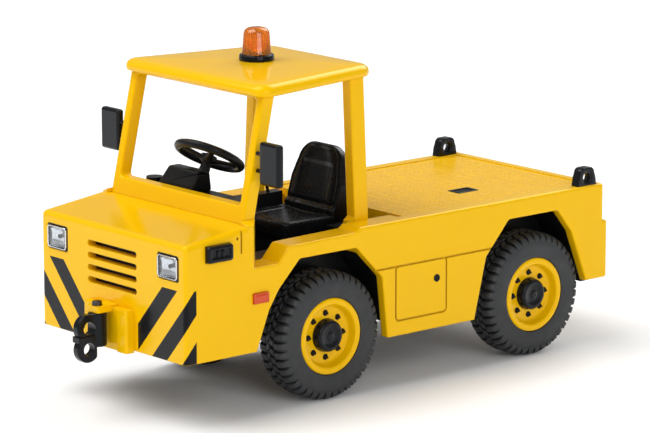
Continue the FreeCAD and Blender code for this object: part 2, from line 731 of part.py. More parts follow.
def deck_latch():
    """The black flush latch let into the tread plate."""
    y = WELL_REAR + LATCH_BEHIND_WELL
    return box(LATCH_X - LATCH_WIDTH / 2, LATCH_X + LATCH_WIDTH / 2, y - LATCH_LENGTH / 2,
               y + LATCH_LENGTH / 2, PLATE_TOP - LATCH_DEPTH, PLATE_TOP)


def lifting_lug():
    """Black lifting plate on the left deck rim, round in its upper corners, with a round eye."""
    x0 = LUG_OUTER - LUG_THICKNESS
    shape = [(-LUG_FOOT_HALF, -LUG_FOOT_SINK), (LUG_FOOT_HALF, -LUG_FOOT_SINK), (LUG_TOP_HALF, LUG_HEIGHT),
             (-LUG_TOP_HALF, LUG_HEIGHT)]
    plate = prism_x([(LUG_Y + y, DECK_TOP + z) for y, z in shape], x0, LUG_OUTER, LUG_CORNER)
    centre = Vec(x0, LUG_Y, DECK_TOP + LUG_EYE_HEIGHT)
    hole = rod(LUG_HOLE, centre - X_AXIS, centre + Vec(LUG_THICKNESS + OVERCUT, 0, 0))
    return plate.cut([hole, box(0, FAR, LUG_Y - FAR, LUG_Y + FAR, 0, DECK_TOP)])


# ---- windscreen frame, posts and roof -------------------------------------
def screen_y(z):
    """Front face of the leaning windscreen frame at a height."""
    return SCREEN_FOOT + SCREEN_LEAN * (z - HOOD_REAR_TOP)


def screen_slab(half, z0, z1, radius):
    """A slab in the windscreen plane, of a half width at the foot, narrower towards the roof."""
    top = half - SCREEN_TAPER
    points = [Vec(x, screen_y(z), z) for x, z in ((-half, z0), (half, z0), (top, z1), (-top, z1))]
    return face_of(points, radius).extrude(Vec(0, SCREEN_DEPTH, 0))


def windscreen_frame():
    """Both front pillars with the panel under the windscreen and the header above it."""
    frame = screen_slab(SCREEN_HALF, HOOD_REAR_TOP, ROOF_BOTTOM, 0)
    hole = screen_slab(SCREEN_HALF - PILLAR_WIDTH, SCREEN_SILL, ROOF_BOTTOM - HEADER, SCREEN_CORNER)
    frame = frame.cut(hole)
    soft = [e for e in frame.Edges if HOOD_REAR_TOP + GAP < e.CenterOfMass.z < ROOF_BOTTOM - GAP
            and e.BoundBox.YLength < e.BoundBox.ZLength + e.BoundBox.XLength]
    return frame.makeFillet(PILLAR_ROUND, soft)


def rear_post():
    """The left rear post, against the inner face of the sill and up to the roof."""
    inner = WELL_HALF - POST_WIDTH
    front = POST_REAR - POST_DEPTH
    lower = box(inner, WELL_HALF, front, POST_REAR, SHELF_TOP, DECK_TOP)
    foot = [Vec(x, y, DECK_TOP) for x, y in ((inner, front), (WELL_HALF, front), (WELL_HALF, POST_REAR),
                                             (inner, POST_REAR))]
    upper = face_of(foot).extrude(Vec(-POST_LEAN, 0, ROOF_BOTTOM - DECK_TOP))
    long_edges = [e for e in upper.Edges if e.BoundBox.ZLength > CAB_HEIGHT]
    upper = upper.makeFillet(POST_ROUND, long_edges)
    root = front + POST_ROUND
    wedge = prism_x([(front - POST_FOOT_LENGTH, SHELF_TOP), (front - POST_FOOT_LENGTH, DECK_TOP),
                     (root, DECK_TOP + POST_FOOT_LENGTH), (root, SHELF_TOP)],
                    inner + POST_ROUND, WELL_HALF - POST_ROUND)
    return lower.fuse([upper, wedge])


def roof():
    """The flat roof, narrower at the back, with its edges rounded over."""
    front = roof_front()
    plan = [(-ROOF_FRONT_HALF, front), (ROOF_FRONT_HALF, front), (ROOF_REAR_HALF, ROOF_REAR),
            (-ROOF_REAR_HALF, ROOF_REAR)]
    top = ROOF_BOTTOM + ROOF_THICKNESS
    slab = prism_z(plan, ROOF_BOTTOM, top, ROOF_CORNER)
    slab = slab.makeFillet(ROOF_ROUND, edges_in(slab, lambda p: p.z > top - GAP))
    return slab.makeFillet(ROOF_UNDER_ROUND, edges_in(slab, lambda p: p.z < ROOF_BOTTOM + GAP))


def roof_front():
    """Front edge of the roof, a little ahead of the windscreen frame."""
    return screen_y(ROOF_BOTTOM) - ROOF_OVERHANG


def beacon_foot():
    """Centre of the beacon, on top of the roof."""
    return Vec(0, (roof_front() + ROOF_REAR) / 2, ROOF_BOTTOM + ROOF_THICKNESS)


def beacon_base():
    """Black ring under the beacon lens."""
    flange = Part.makeCylinder(BEACON_BASE_RADIUS, BEACON_BASE_HEIGHT / 2, beacon_foot())
    collar = Part.makeCylinder(BEACON_BASE_RADIUS - BEACON_COLLAR_STEP, BEACON_BASE_HEIGHT, beacon_foot())
    return flange.fuse(collar)


def beacon_lens():
    """Amber dome of the beacon."""
    foot = beacon_foot() + Vec(0, 0, BEACON_BASE_HEIGHT)
    top_radius = BEACON_LENS_RADIUS - BEACON_LENS_TAPER
    cone = Part.makeCone(BEACON_LENS_RADIUS, top_radius, BEACON_LENS_HEIGHT, foot)
    return cone.makeFillet(BEACON_LENS_ROUND, edges_in(cone, lambda p: p.z > foot.z + GAP))


def mirror():
    """The left mirror: a solid slab on two stubs from the front pillar."""
    inner = SCREEN_HALF + MIRROR_OUTSET
    front = SCREEN_FOOT + MIRROR_SETBACK
    bottom = DASH_TOP + MIRROR_RISE - DASH_RISE
    piece = box(inner, inner + MIRROR_WIDTH, front, front + MIRROR_DEPTH, bottom, bottom + MIRROR_HEIGHT)
    piece = piece.makeFillet(MIRROR_ROUND, piece.Edges)
    y = front + MIRROR_DEPTH / 2
    for share in MIRROR_ARM_PLACES:
        z = bottom + MIRROR_HEIGHT * share
        start = Vec(SCREEN_HALF - PILLAR_WIDTH / 2, y, z)
        piece = piece.fuse(rod(MIRROR_ARM_RADIUS, start, Vec(inner + MIRROR_ROUND, y, z)))
    return piece.cut(windscreen_frame())


# ---- cab inside -----------------------------------------------------------
def cab_tub():
    """Black floor tub: low centre floor, a side tray in each doorway and a shelf under each rear post."""
    outer = WELL_HALF - GAP
    front = WELL_FRONT + GAP
    rear = WELL_REAR - GAP
    upstand = STEP_REAR + STEP_RISE_LENGTH
    riser = POST_REAR - POST_DEPTH - POST_FOOT_LENGTH - GAP
    shelf_rear = FRONT_HOUSE_REAR + GAP
    t = TRAY_WALL
    centre = box(-FOOT_HALF - t, FOOT_HALF + t, front, rear, FLOOR_TOP - t, SHELF_TOP)
    centre = centre.cut(box(-FOOT_HALF, FOOT_HALF, front + t, rear - t, FLOOR_TOP, FAR))
    for low_wall in both_sides(box(FOOT_HALF, FOOT_HALF + t, front + t, riser, TUB_STEP_TOP, FAR)):
        centre = centre.cut(low_wall)
    side = [box(FOOT_HALF, outer, front, riser + t, TUB_STEP_TOP - t, TUB_STEP_TOP),
            box(outer - t, outer, upstand, riser + t, TUB_STEP_TOP - t, SHELF_TOP),
            box(FOOT_HALF, outer, riser, riser + t, TUB_STEP_TOP - t, SHELF_TOP),
            box(FOOT_HALF, outer, riser, shelf_rear + t, SHELF_TOP - t, SHELF_TOP),
            box(FOOT_HALF, outer, shelf_rear, shelf_rear + t, FLOOR_TOP - t, SHELF_TOP),
            box(FOOT_HALF, outer, shelf_rear, rear, FLOOR_TOP - t, FLOOR_TOP)]
    tub = centre.fuse([half for piece in side for half in both_sides(piece)])
    return tub.cut(box(-HALF, HALF, shelf_rear + t, rear + t, FLOOR_TOP, FAR))


def dash_front():
    """Front face of the dash, just behind the windscreen panel."""
    return screen_y(DASH_TOP) + SCREEN_DEPTH + GAP


def dashboard():
    """Black dash behind the windscreen panel, with the small switch knob on top."""
    front = dash_front()
    shelf = box(GAP - WELL_HALF, DASH_LEFT, front, front + DASH_DEPTH, HOOD_REAR_TOP - DASH_SKIRT, DASH_TOP)
    knob = Part.makeCylinder(KNOB_RADIUS, KNOB_HEIGHT, Vec(KNOB_X, front + KNOB_FROM_SCREEN, DASH_TOP))
    return shelf.fuse(knob)


def instrument_box():
    """Instrument box on the dash: its front leans with the windscreen, its rear slopes to the driver."""
    clear = SCREEN_DEPTH + GAP
    top = DASH_TOP + BOX_HEIGHT
    foot_rear = dash_front() + DASH_DEPTH
    shape = [(BOX_FOOT_RIGHT, 0), (BOX_FOOT_LEFT, 0), (BOX_SHOULDER_LEFT, BOX_SHOULDER),
             (BOX_TOP_LEFT, BOX_HEIGHT), (BOX_TOP_RIGHT, BOX_HEIGHT)]
    case = prism_y([(DRIVER_X + x, DASH_TOP + z) for x, z in shape], 0, foot_rear)
    side = [(dash_front(), DASH_TOP), (foot_rear, DASH_TOP), (screen_y(top) + clear + BOX_DEPTH, top),
            (screen_y(top) + clear, top)]
    return case.common(prism_x(side, -HALF, HALF))


def wheel_normal():
    """Direction from the dash towards the driver, square to the steering wheel, leaning to the right."""
    tilt = math.radians(WHEEL_TILT)
    roll = math.radians(WHEEL_ROLL)
    return Vec(-math.sin(roll), math.cos(roll) * math.sin(tilt), math.cos(roll) * math.cos(tilt))


def wheel_centre():
    """Centre of the steering wheel's rim."""
    return Vec(DRIVER_X, SCREEN_FOOT + WHEEL_BEHIND_SCREEN, DASH_TOP + WHEEL_OVER_DASH)


def steering_column():
    """Tapered column, in line with the steering wheel hub, out of the instrument box."""
    n = wheel_normal()
    top = wheel_centre() - n * WHEEL_HUB_LENGTH
    foot = top - n * COLUMN_LENGTH
    cone = Part.makeCone(COLUMN_FOOT_RADIUS, COLUMN_TOP_RADIUS, COLUMN_LENGTH, foot, n)
    return cone.cut(instrument_box())


def steering_wheel():
    """Rim, hub and four spokes."""
    n = wheel_normal()
    centre = wheel_centre()
    middle = WHEEL_RADIUS - WHEEL_RIM
    rim_ring = Part.makeTorus(middle, WHEEL_RIM, centre, n)
    hub = rod(WHEEL_HUB_RADIUS, centre - n * WHEEL_HUB_LENGTH, centre + n * WHEEL_HUB_CAP)
    across = X_AXIS.cross(n)
    spokes = []
    for turn in SPOKE_ANGLES:
        a = math.radians(turn)
        out = X_AXIS * math.cos(a) + across * math.sin(a)
        spokes.append(rod(SPOKE_RADIUS, centre - n * SPOKE_DROP, centre + out * middle))
    return rim_ring.fuse([hub] + spokes)


def seat_base():
    """Riser between the floor and the seat, under both the cushion and the back rest."""
    half = SEAT_WIDTH / 2 - SEAT_BASE_INSET
    return box(SEAT_X - half, SEAT_X + half, SEAT_FRONT + SEAT_BASE_INSET,
               back_front() + BACK_THICKNESS - SEAT_BASE_INSET, FLOOR_TOP, CUSHION_TOP - CUSHION_THICKNESS)


def seat_cushion():
    """Seat cushion with rounded edges."""
    half = SEAT_WIDTH / 2
    pad = box(SEAT_X - half, SEAT_X + half, SEAT_FRONT, SEAT_FRONT + CUSHION_LENGTH,
              CUSHION_TOP - CUSHION_THICKNESS, CUSHION_TOP)
    return pad.makeFillet(CUSHION_ROUND, pad.Edges)


def back_front():
    """Front face of the back rest's foot, just behind the cushion."""
    return SEAT_FRONT + CUSHION_LENGTH + GAP


def seat_back():
    """Back rest on the seat base: a wedge that leans back and narrows to a round top."""
    foot = CUSHION_TOP - CUSHION_THICKNESS
    front = back_front()
    rear = front + BACK_THICKNESS
    top = CUSHION_TOP + BACK_HEIGHT
    half = SEAT_WIDTH / 2
    shape = [(-half, -BACK_SINK), (half, -BACK_SINK), (half, BACK_SHOULDER),
             (BACK_TOP_HALF, BACK_HEIGHT), (-BACK_TOP_HALF, BACK_HEIGHT), (-half, BACK_SHOULDER)]
    outline = [(SEAT_X + x, CUSHION_TOP + z) for x, z in shape]
    side = [(front, foot), (rear, foot), (rear + BACK_REAR_LEAN, top), (front + BACK_LEAN, top),
            (front, CUSHION_TOP)]
    pad = prism_y(outline, front, rear + BACK_LEAN, BACK_CORNER).common(prism_x(side, -HALF, HALF))
    return pad.makeFillet(BACK_ROUND, edges_in(pad, lambda p: p.z > foot + GAP))


def lever_console():
    """Console to the right of the seat, with two small levers."""
    left = SEAT_X - SEAT_WIDTH / 2 - CONSOLE_GAP
    x = left - CONSOLE_WIDTH / 2
    front = SEAT_FRONT + CONSOLE_SETBACK
    top = CUSHION_TOP + CONSOLE_RISE
    console = box(left - CONSOLE_WIDTH, left, front, front + CONSOLE_LENGTH, FLOOR_TOP, top)
    for dx, dy in LEVER_PLACES:
        foot = Vec(x + dx, SEAT_FRONT + dy, top - LEVER_SINK)
        console = console.fuse(rod(LEVER_RADIUS, foot, foot + Vec(0, -LEVER_LEAN, LEVER_HEIGHT)))
    return console


# ---- headlights and grille ------------------------------------------------
def headlight_block(border, front, rear):
    """A round-cornered block at the left headlight, with a border left around it."""
    across = LAMP_HALF_WIDTH - border
    up = LAMP_HALF_HEIGHT - border
    return rounded_box(LAMP_X - across, LAMP_X + across, front, rear, LAMP_Z - up, LAMP_Z + up,
                       LAMP_CORNER, Y_AXIS)


def headlight_housing():
    """Dark square housing let into the front wall, left side."""
    shell = headlight_block(GAP, LAMP_RECESS, LAMP_POCKET)
    return shell.cut(headlight_lens())


def headlight_lens():
    """Clear square lens in its housing, left side."""
    lens = headlight_block(LENS_BORDER, -LENS_PROUD, LENS_DEPTH - LENS_PROUD)
    return lens.makeFillet(BLOCK_EDGE, edges_in(lens, lambda p: p.y < 0))


def grille_backing():
    """Black plate behind the grille slots."""
    bottom = SLOT_TOP - (SLOT_COUNT - 1) * SLOT_PITCH - SLOT_HEIGHT - BACKING_MARGIN
    half = SLOT_HALF + BACKING_MARGIN
    return box(-half, half, SKIN, SKIN + BACKING_THICKNESS, bottom, SLOT_TOP + BACKING_MARGIN / 2)


# ---- tow gear -------------------------------------------------------------
def tow_block():
    """Yellow fluted block on the nose, with the ledge that holds the tow pin."""
    block = rounded_box(-BLOCK_HALF, BLOCK_HALF, -BLOCK_REACH, BLOCK_REACH, BLOCK_BOTTOM, BLOCK_TOP,
                        BLOCK_ROUND, Z_AXIS)
    floor = BLOCK_FLUTE_DEPTH - BLOCK_REACH
    mouth = BLOCK_FLUTE_HALF + BLOCK_REACH
    flute = [(-BLOCK_FLUTE_HALF, floor), (BLOCK_FLUTE_HALF, floor), (mouth, floor - BLOCK_REACH),
             (-mouth, floor - BLOCK_REACH)]
    block = block.cut(prism_z(flute, 0, FAR))
    ledge = box(-LEDGE_HALF, LEDGE_HALF, -LEDGE_REACH, 0, LEDGE_BOTTOM, LEDGE_TOP)
    ledge = ledge.makeFillet(BLOCK_ROUND, along(ledge, Z_AXIS, lambda p: p.y < -BLOCK_REACH))
    solid = block.fuse(ledge)
    return solid.cut([box(-FAR, FAR, 0, FAR, 0, FAR), upright(PIN_RADIUS, -PIN_REACH, 0, FAR)])


def tow_pin():
    """Upright tow pin with its round head on the ledge."""
    head = upright(PIN_HEAD_RADIUS, -PIN_REACH, LEDGE_TOP, LEDGE_TOP + PIN_HEAD_HEIGHT)
    head = head.makeFillet(PIN_HEAD_ROUND, edges_in(head, lambda p: p.z > LEDGE_TOP + GAP))
    shank = upright(PIN_RADIUS, -PIN_REACH, PIN_BOTTOM, LEDGE_TOP)
    foot = upright(PIN_FOOT_RADIUS, -PIN_REACH, PIN_BOTTOM, PIN_BOTTOM + PIN_FOOT_HEIGHT)
    return shank.fuse([head, foot])


def eye_bar(radius, half_length, level):
    """A bar across the coupling at one of its two eyes, the upper one being level 0."""
    z = EYE_HEIGHT - level * EYE_PITCH
    return rod(radius, Vec(-half_length, -EYE_REACH, z), Vec(half_length, -EYE_REACH, z))


def tow_eye():
    """Black coupling that swings on the tow pin: knuckle, upper eye, collar and lower eye."""
    top = LEDGE_BOTTOM - 2 * PIN_PLAY
    half = EYE_THICKNESS / 2
    knuckle = upright(KNUCKLE_RADIUS, -PIN_REACH, PIN_BOTTOM, top)
    knuckle = knuckle.makeFillet(EYE_ROUND, edges_in(knuckle, lambda p: True))
    eyes = []
    for level in (0, 1):
        ring = eye_bar(EYE_RADIUS, half, level)
        eyes.append(ring.makeFillet(EYE_ROUND, edges_in(ring, lambda p: True)))
    middle = EYE_HEIGHT - EYE_PITCH / 2
    collar = box(-COLLAR_HALF, COLLAR_HALF, -EYE_REACH - EYE_RADIUS + COLLAR_INSET, -PIN_REACH,
                 middle - COLLAR_HEIGHT / 2, middle + COLLAR_HEIGHT / 2)
    collar = collar.makeFillet(EYE_ROUND, along(collar, Z_AXIS, lambda p: p.y < -EYE_REACH))
    web = box(-half, half, -EYE_REACH, -PIN_REACH, PIN_BOTTOM, EYE_HEIGHT)
    body = knuckle.fuse(eyes + [collar, web])
    seat_top = PIN_BOTTOM + PIN_FOOT_HEIGHT + PIN_PLAY
    return body.cut([eye_bar(EYE_HOLE, FAR, 0), eye_bar(EYE_HOLE, FAR, 1),
                     upright(PIN_RADIUS + PIN_PLAY, -PIN_REACH, 0, FAR),
                     upright(PIN_FOOT_RADIUS + PIN_PLAY, -PIN_REACH, 0, seat_top)])


def rear_hitch():
    """Black towing jaw on the tail: a back plate with an upper and a lower lip."""
    plate = box(-HITCH_PLATE_HALF, HITCH_PLATE_HALF, TAIL, TAIL + HITCH_PLATE_THICKNESS,
                HITCH_Z - HITCH_PLATE_HALF_HEIGHT, HITCH_Z + HITCH_PLATE_HALF_HEIGHT)
    lips = [box(-HITCH_JAW_HALF, HITCH_JAW_HALF, TAIL, TAIL + REAR_HITCH_REACH, z, z + HITCH_LIP)
            for z in (HITCH_Z - HITCH_JAW_GAP / 2 - HITCH_LIP, HITCH_Z + HITCH_JAW_GAP / 2)]
    return plate.fuse(lips).cut(upright(HITCH_PIN_RADIUS, TAIL + HITCH_PIN_REACH, 0, FAR))


def rear_hitch_pin():
    """Tow pin dropped through both lips of the rear jaw."""
    y = TAIL + HITCH_PIN_REACH
    lip_top = HITCH_Z + HITCH_JAW_GAP / 2 + HITCH_LIP
    lip_bottom = HITCH_Z - HITCH_JAW_GAP / 2 - HITCH_LIP
    shank = upright(HITCH_PIN_RADIUS, y, lip_bottom - HITCH_PIN_TAIL, lip_top)
    head_radius = HITCH_PIN_RADIUS + HITCH_PIN_HEAD
    return shank.fuse(upright(head_radius, y, lip_top, lip_top + HITCH_PIN_HEAD_HEIGHT))


# ---- base, wheel housings, axles and wheels -------------------------------
def base_plate():
    """Black base of the model, narrow between the wheels, with a bearing block for each axle."""
    wide = INSIDE - GAP
    stations = [(wide, SKIN + GAP, FRONT_HOUSE_FRONT), (BASE_HALF, FRONT_HOUSE_FRONT, FRONT_HOUSE_REAR),
                (wide, FRONT_HOUSE_REAR, REAR_HOUSE_FRONT),
                (BASE_HALF, REAR_HOUSE_FRONT, REAR_AXLE + TYRE_RADIUS + REAR_HOUSE_HEEL),
                (wide, REAR_AXLE + TYRE_RADIUS + REAR_HOUSE_HEEL, REAR_HOUSE_REAR)]
    pieces = [box(-half, half, y0, y1, BASE_BOTTOM, BASE_TOP) for half, y0, y1 in stations]
    for axle_y in ENDS.values():
        pieces.append(box(-BASE_HALF, BASE_HALF, axle_y - BEARING_HALF, axle_y + BEARING_HALF,
                          AXLE_Z - AXLE_RADIUS - BEARING_WALL, BASE_TOP))
    base = pieces[0].fuse(pieces[1:])
    bore = AXLE_RADIUS + AXLE_FIT
    return base.cut([rod(bore, Vec(-FAR, y, AXLE_Z), Vec(FAR, y, AXLE_Z)) for y in ENDS.values()])


def wheel_housing(axle_y, shape, front, rear):
    """Black inner arches of one axle: walls that follow each wheel opening, joined by a tie."""
    block = box(HOUSE_INNER - HOUSE_WALL, INSIDE - GAP, front, rear, HOUSE_BOTTOM, HOUSE_TOP)
    left = block.cut(prism_x(arch_outline(axle_y, shape), HOUSE_INNER, FAR))
    tie = box(-HOUSE_INNER, HOUSE_INNER, axle_y - BEARING_HALF, axle_y + BEARING_HALF, HOUSE_BOTTOM,
              HOUSE_BOTTOM + TIE_HEIGHT)
    hub_hole = rod(HUB_RADIUS + HUB_GAP, Vec(-FAR, axle_y, AXLE_Z), Vec(FAR, axle_y, AXLE_Z))
    return tie.fuse(both_sides(left)).cut(hub_hole)


def axle(axle_y):
    """Fixed steel axle with a turned head at each end."""
    head = DISC_FACE + WHEEL_END_PLAY
    end = head + AXLE_HEAD_LENGTH
    bar = rod(AXLE_RADIUS, Vec(-end, axle_y, AXLE_Z), Vec(end, axle_y, AXLE_Z))
    return bar.fuse(both_sides(rod(AXLE_HEAD_RADIUS, Vec(head, axle_y, AXLE_Z), Vec(end, axle_y, AXLE_Z))))


def rim(axle_y):
    """Left wheel rim with its dished disc and its hub."""
    inner = WHEEL_INNER + RIM_INSET
    back = DISC_FACE - DISC_THICKNESS
    bore = AXLE_RADIUS + AXLE_PLAY
    lip = RIM_RADIUS - RIM_LIP
    flange = RIM_FACE - RIM_FLANGE
    edge = RIM_FLANGE / 2
    outline = [(inner, RIM_SEAT_RADIUS), (inner, RIM_SEAT_RADIUS - RIM_WALL),
               (back, RIM_SEAT_RADIUS - 2 * RIM_WALL), (back, HUB_RADIUS), (HUB_END, HUB_RADIUS),
               (HUB_END, bore), (DISC_FACE, bore), (DISC_FACE, lip - edge), (RIM_FACE - edge, lip),
               (RIM_FACE, lip + edge), (RIM_FACE, RIM_RADIUS - edge), (flange, RIM_RADIUS),
               (flange, RIM_SEAT_RADIUS)]
    return spin_x(outline, axle_y)


def tyre(axle_y):
    """Left tyre, round in the shoulders, around the rim and behind its flange."""
    seat = RIM_SEAT_RADIUS + GAP
    ring = spin_x([(WHEEL_INNER, seat), (WHEEL_OUTER, seat), (WHEEL_OUTER, TYRE_RADIUS),
                   (WHEEL_INNER, TYRE_RADIUS)], axle_y)
    tread_edges = [e for e in ring.Edges if e.BoundBox.ZLength > 2 * TYRE_RADIUS - GAP]
    ring = ring.makeFillet(TYRE_SHOULDER, tread_edges)
    outside = Vec(WHEEL_OUTER + OVERCUT, axle_y, AXLE_Z)
    recess_start = Vec(RIM_FACE - RIM_FLANGE - GAP, axle_y, AXLE_Z)
    return ring.cut(rod(RIM_RADIUS + GAP, recess_start, outside))


def hub_cap(axle_y):
    """Black left hub cap, hollow around the axle head."""
    end = DISC_FACE + CAP_LENGTH
    cap = rod(CAP_RADIUS, Vec(DISC_FACE, axle_y, AXLE_Z), Vec(end, axle_y, AXLE_Z))
    cap = cap.makeFillet(CAP_ROUND, edges_in(cap, lambda p: p.x > end - GAP))
    deep = DISC_FACE + WHEEL_END_PLAY + AXLE_HEAD_LENGTH + CAP_ROOM
    behind = Vec(DISC_FACE - OVERCUT, axle_y, AXLE_Z)
    return cap.cut(rod(AXLE_HEAD_RADIUS + CAP_ROOM, behind, Vec(deep, axle_y, AXLE_Z)))


MIDDLE_PIECES = (body_casting, windscreen_frame, roof, deck_plate, deck_latch, beacon_base, beacon_lens,
                 cab_tub, dashboard, instrument_box, steering_column, steering_wheel, seat_base,
                 seat_cushion, seat_back, lever_console, grille_backing, tow_block, tow_pin, tow_eye,
                 rear_hitch, rear_hitch_pin, base_plate)
SIDE_PIECES = (rear_post, mirror, headlight_housing, headlight_lens, side_lamp, side_marker, locker_lock,
               tail_lamp, lifting_lug)
WHEEL_PIECES = (rim, tyre, hub_cap)
HOUSINGS = {"front": (FRONT_ARCH, FRONT_HOUSE_FRONT, FRONT_HOUSE_REAR),
            "rear": (REAR_ARCH, REAR_HOUSE_FRONT, REAR_HOUSE_REAR)}


def main():
    """Build every piece and write it, each named after the function that draws it."""
    os.makedirs("parts", exist_ok=True)
    for piece in MIDDLE_PIECES:
        export(piece.__name__, piece())
    for end, axle_y in ENDS.items():
        export(end + "_wheelhouse", wheel_housing(axle_y, *HOUSINGS[end]))
        export(end + "_axle", axle(axle_y))
    for side, sign in SIDES.items():
        for piece in SIDE_PIECES:
            export(piece.__name__ + "_" + side, sided(piece(), sign))
        for end, axle_y in ENDS.items():
            for piece in WHEEL_PIECES:
                export(piece.__name__ + "_" + end + "_" + side, sided(piece(axle_y), sign))


main()
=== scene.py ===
"""Looks of a die-cast airport tow tractor model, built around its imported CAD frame."""

import logging
import math
from dataclasses import dataclass, field
from enum import Enum
from functools import reduce
from typing import Callable, Iterable, Sequence

import bmesh
import bpy
from mathutils import Matrix, Vector


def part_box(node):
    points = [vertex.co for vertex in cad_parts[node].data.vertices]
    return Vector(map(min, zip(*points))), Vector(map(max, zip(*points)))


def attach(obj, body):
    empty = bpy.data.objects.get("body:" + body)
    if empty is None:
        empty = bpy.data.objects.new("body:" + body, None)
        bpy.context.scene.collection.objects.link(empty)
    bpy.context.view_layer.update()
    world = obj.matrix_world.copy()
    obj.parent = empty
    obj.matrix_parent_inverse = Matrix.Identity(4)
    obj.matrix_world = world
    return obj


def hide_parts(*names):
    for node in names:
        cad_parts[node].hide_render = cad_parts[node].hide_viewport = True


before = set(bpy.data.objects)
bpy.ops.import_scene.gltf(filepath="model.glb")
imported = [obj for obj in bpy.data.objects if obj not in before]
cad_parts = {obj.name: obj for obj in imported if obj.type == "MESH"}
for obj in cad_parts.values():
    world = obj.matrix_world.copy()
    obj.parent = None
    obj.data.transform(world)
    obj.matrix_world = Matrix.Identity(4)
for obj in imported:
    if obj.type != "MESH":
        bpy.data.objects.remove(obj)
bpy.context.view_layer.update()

LOG = logging.getLogger("tow_tractor")
MM = 0.001
SIDES: dict[str, int] = {"left": 1, "right": -1}
ENDS: tuple[str, ...] = ("front", "rear")
CHASSIS = "chassis"
UP = Vector((0, 0, 1))
DIAGONAL = 0.7071
Tree = bpy.types.NodeTree
Socket = bpy.types.NodeSocket
Piece = bpy.types.Object
Material = bpy.types.Material
Form = bmesh.types.BMesh
Outline = Sequence[tuple[float, float]]


# ---- nodes and colours ----------------------------------------------------
def linear(code: str) -> tuple[float, float, float, float]:
    """Turn an sRGB hex colour into a linear one.

    Args:
        code: Colour such as "#F0BB05".

    Returns:
        Red, green, blue and alpha for a node's socket.
    """
    parts = [int(code[i:i + 2], 16) / 255 for i in (1, 3, 5)]
    low = [c / 12.92 if c <= 0.04045 else ((c + 0.055) / 1.055) ** 2.4 for c in parts]
    return (low[0], low[1], low[2], 1.0)


def add_node(tree: Tree, kind: str, inputs: dict | None = None,
             **settings: object) -> bpy.types.Node:
    """Add a node, set its properties and feed its inputs.

    Args:
        tree: Tree that the node goes into.
        kind: Blender's type name of the node.
        inputs: Values or output sockets, by input name or number.
        settings: Properties of the node itself.

    Returns:
        The new node.
    """
    node = tree.nodes.new(kind)
    for name, value in settings.items():
        setattr(node, name, value)
    for name, value in (inputs or {}).items():
        socket = node.inputs[name]
        if isinstance(value, Socket):
            tree.links.new(value, socket)
        else:
            socket.default_value = value
    return node


def mix_colour(tree: Tree, share: object, first: object, second: object) -> Socket:
    """Blend two colours by a share from 0 to 1, and return the blend's socket."""
    node = add_node(tree, "ShaderNodeMix", {0: share, 6: first, 7: second}, data_type="RGBA")
    return node.outputs[2]


def work_out(tree: Tree, sum_kind: str, *terms: object) -> Socket:
    """Do one sum on numbers or sockets, and return its result's socket."""
    return add_node(tree, "ShaderNodeMath", dict(enumerate(terms)), operation=sum_kind).outputs[0]


# ---- finishes -------------------------------------------------------------
@dataclass(frozen=True)
class Surface:
    """The nodes of one material, with its Object coordinates at hand."""

    tree: Tree
    place: Socket

    def noise(self, size_mm: float, detail: float) -> Socket:
        """Add a cloud of noise, and return its socket."""
        inputs = {"Vector": self.place, "Scale": 1 / (size_mm * MM), "Detail": detail}
        return add_node(self.tree, "ShaderNodeTexNoise", inputs).outputs["Fac"]

    def remap(self, value: Socket, *limits: float) -> Socket:
        """Carry a value from a first and a last limit to another two, or to 0 and 1."""
        span = dict(zip(("From Min", "From Max", "To Min", "To Max"), limits))
        return add_node(self.tree, "ShaderNodeMapRange", {"Value": value, **span}).outputs[0]

    def mix(self, share: Socket, *colours: object) -> Socket:
        """Blend two colours, each a socket or a hex code."""
        return mix_colour(self.tree, share, *(linear(c) if isinstance(c, str) else c for c in colours))

    def sum(self, kind: str, *terms: object) -> Socket:
        """Do one sum, and return its result's socket."""
        return work_out(self.tree, kind, *terms)


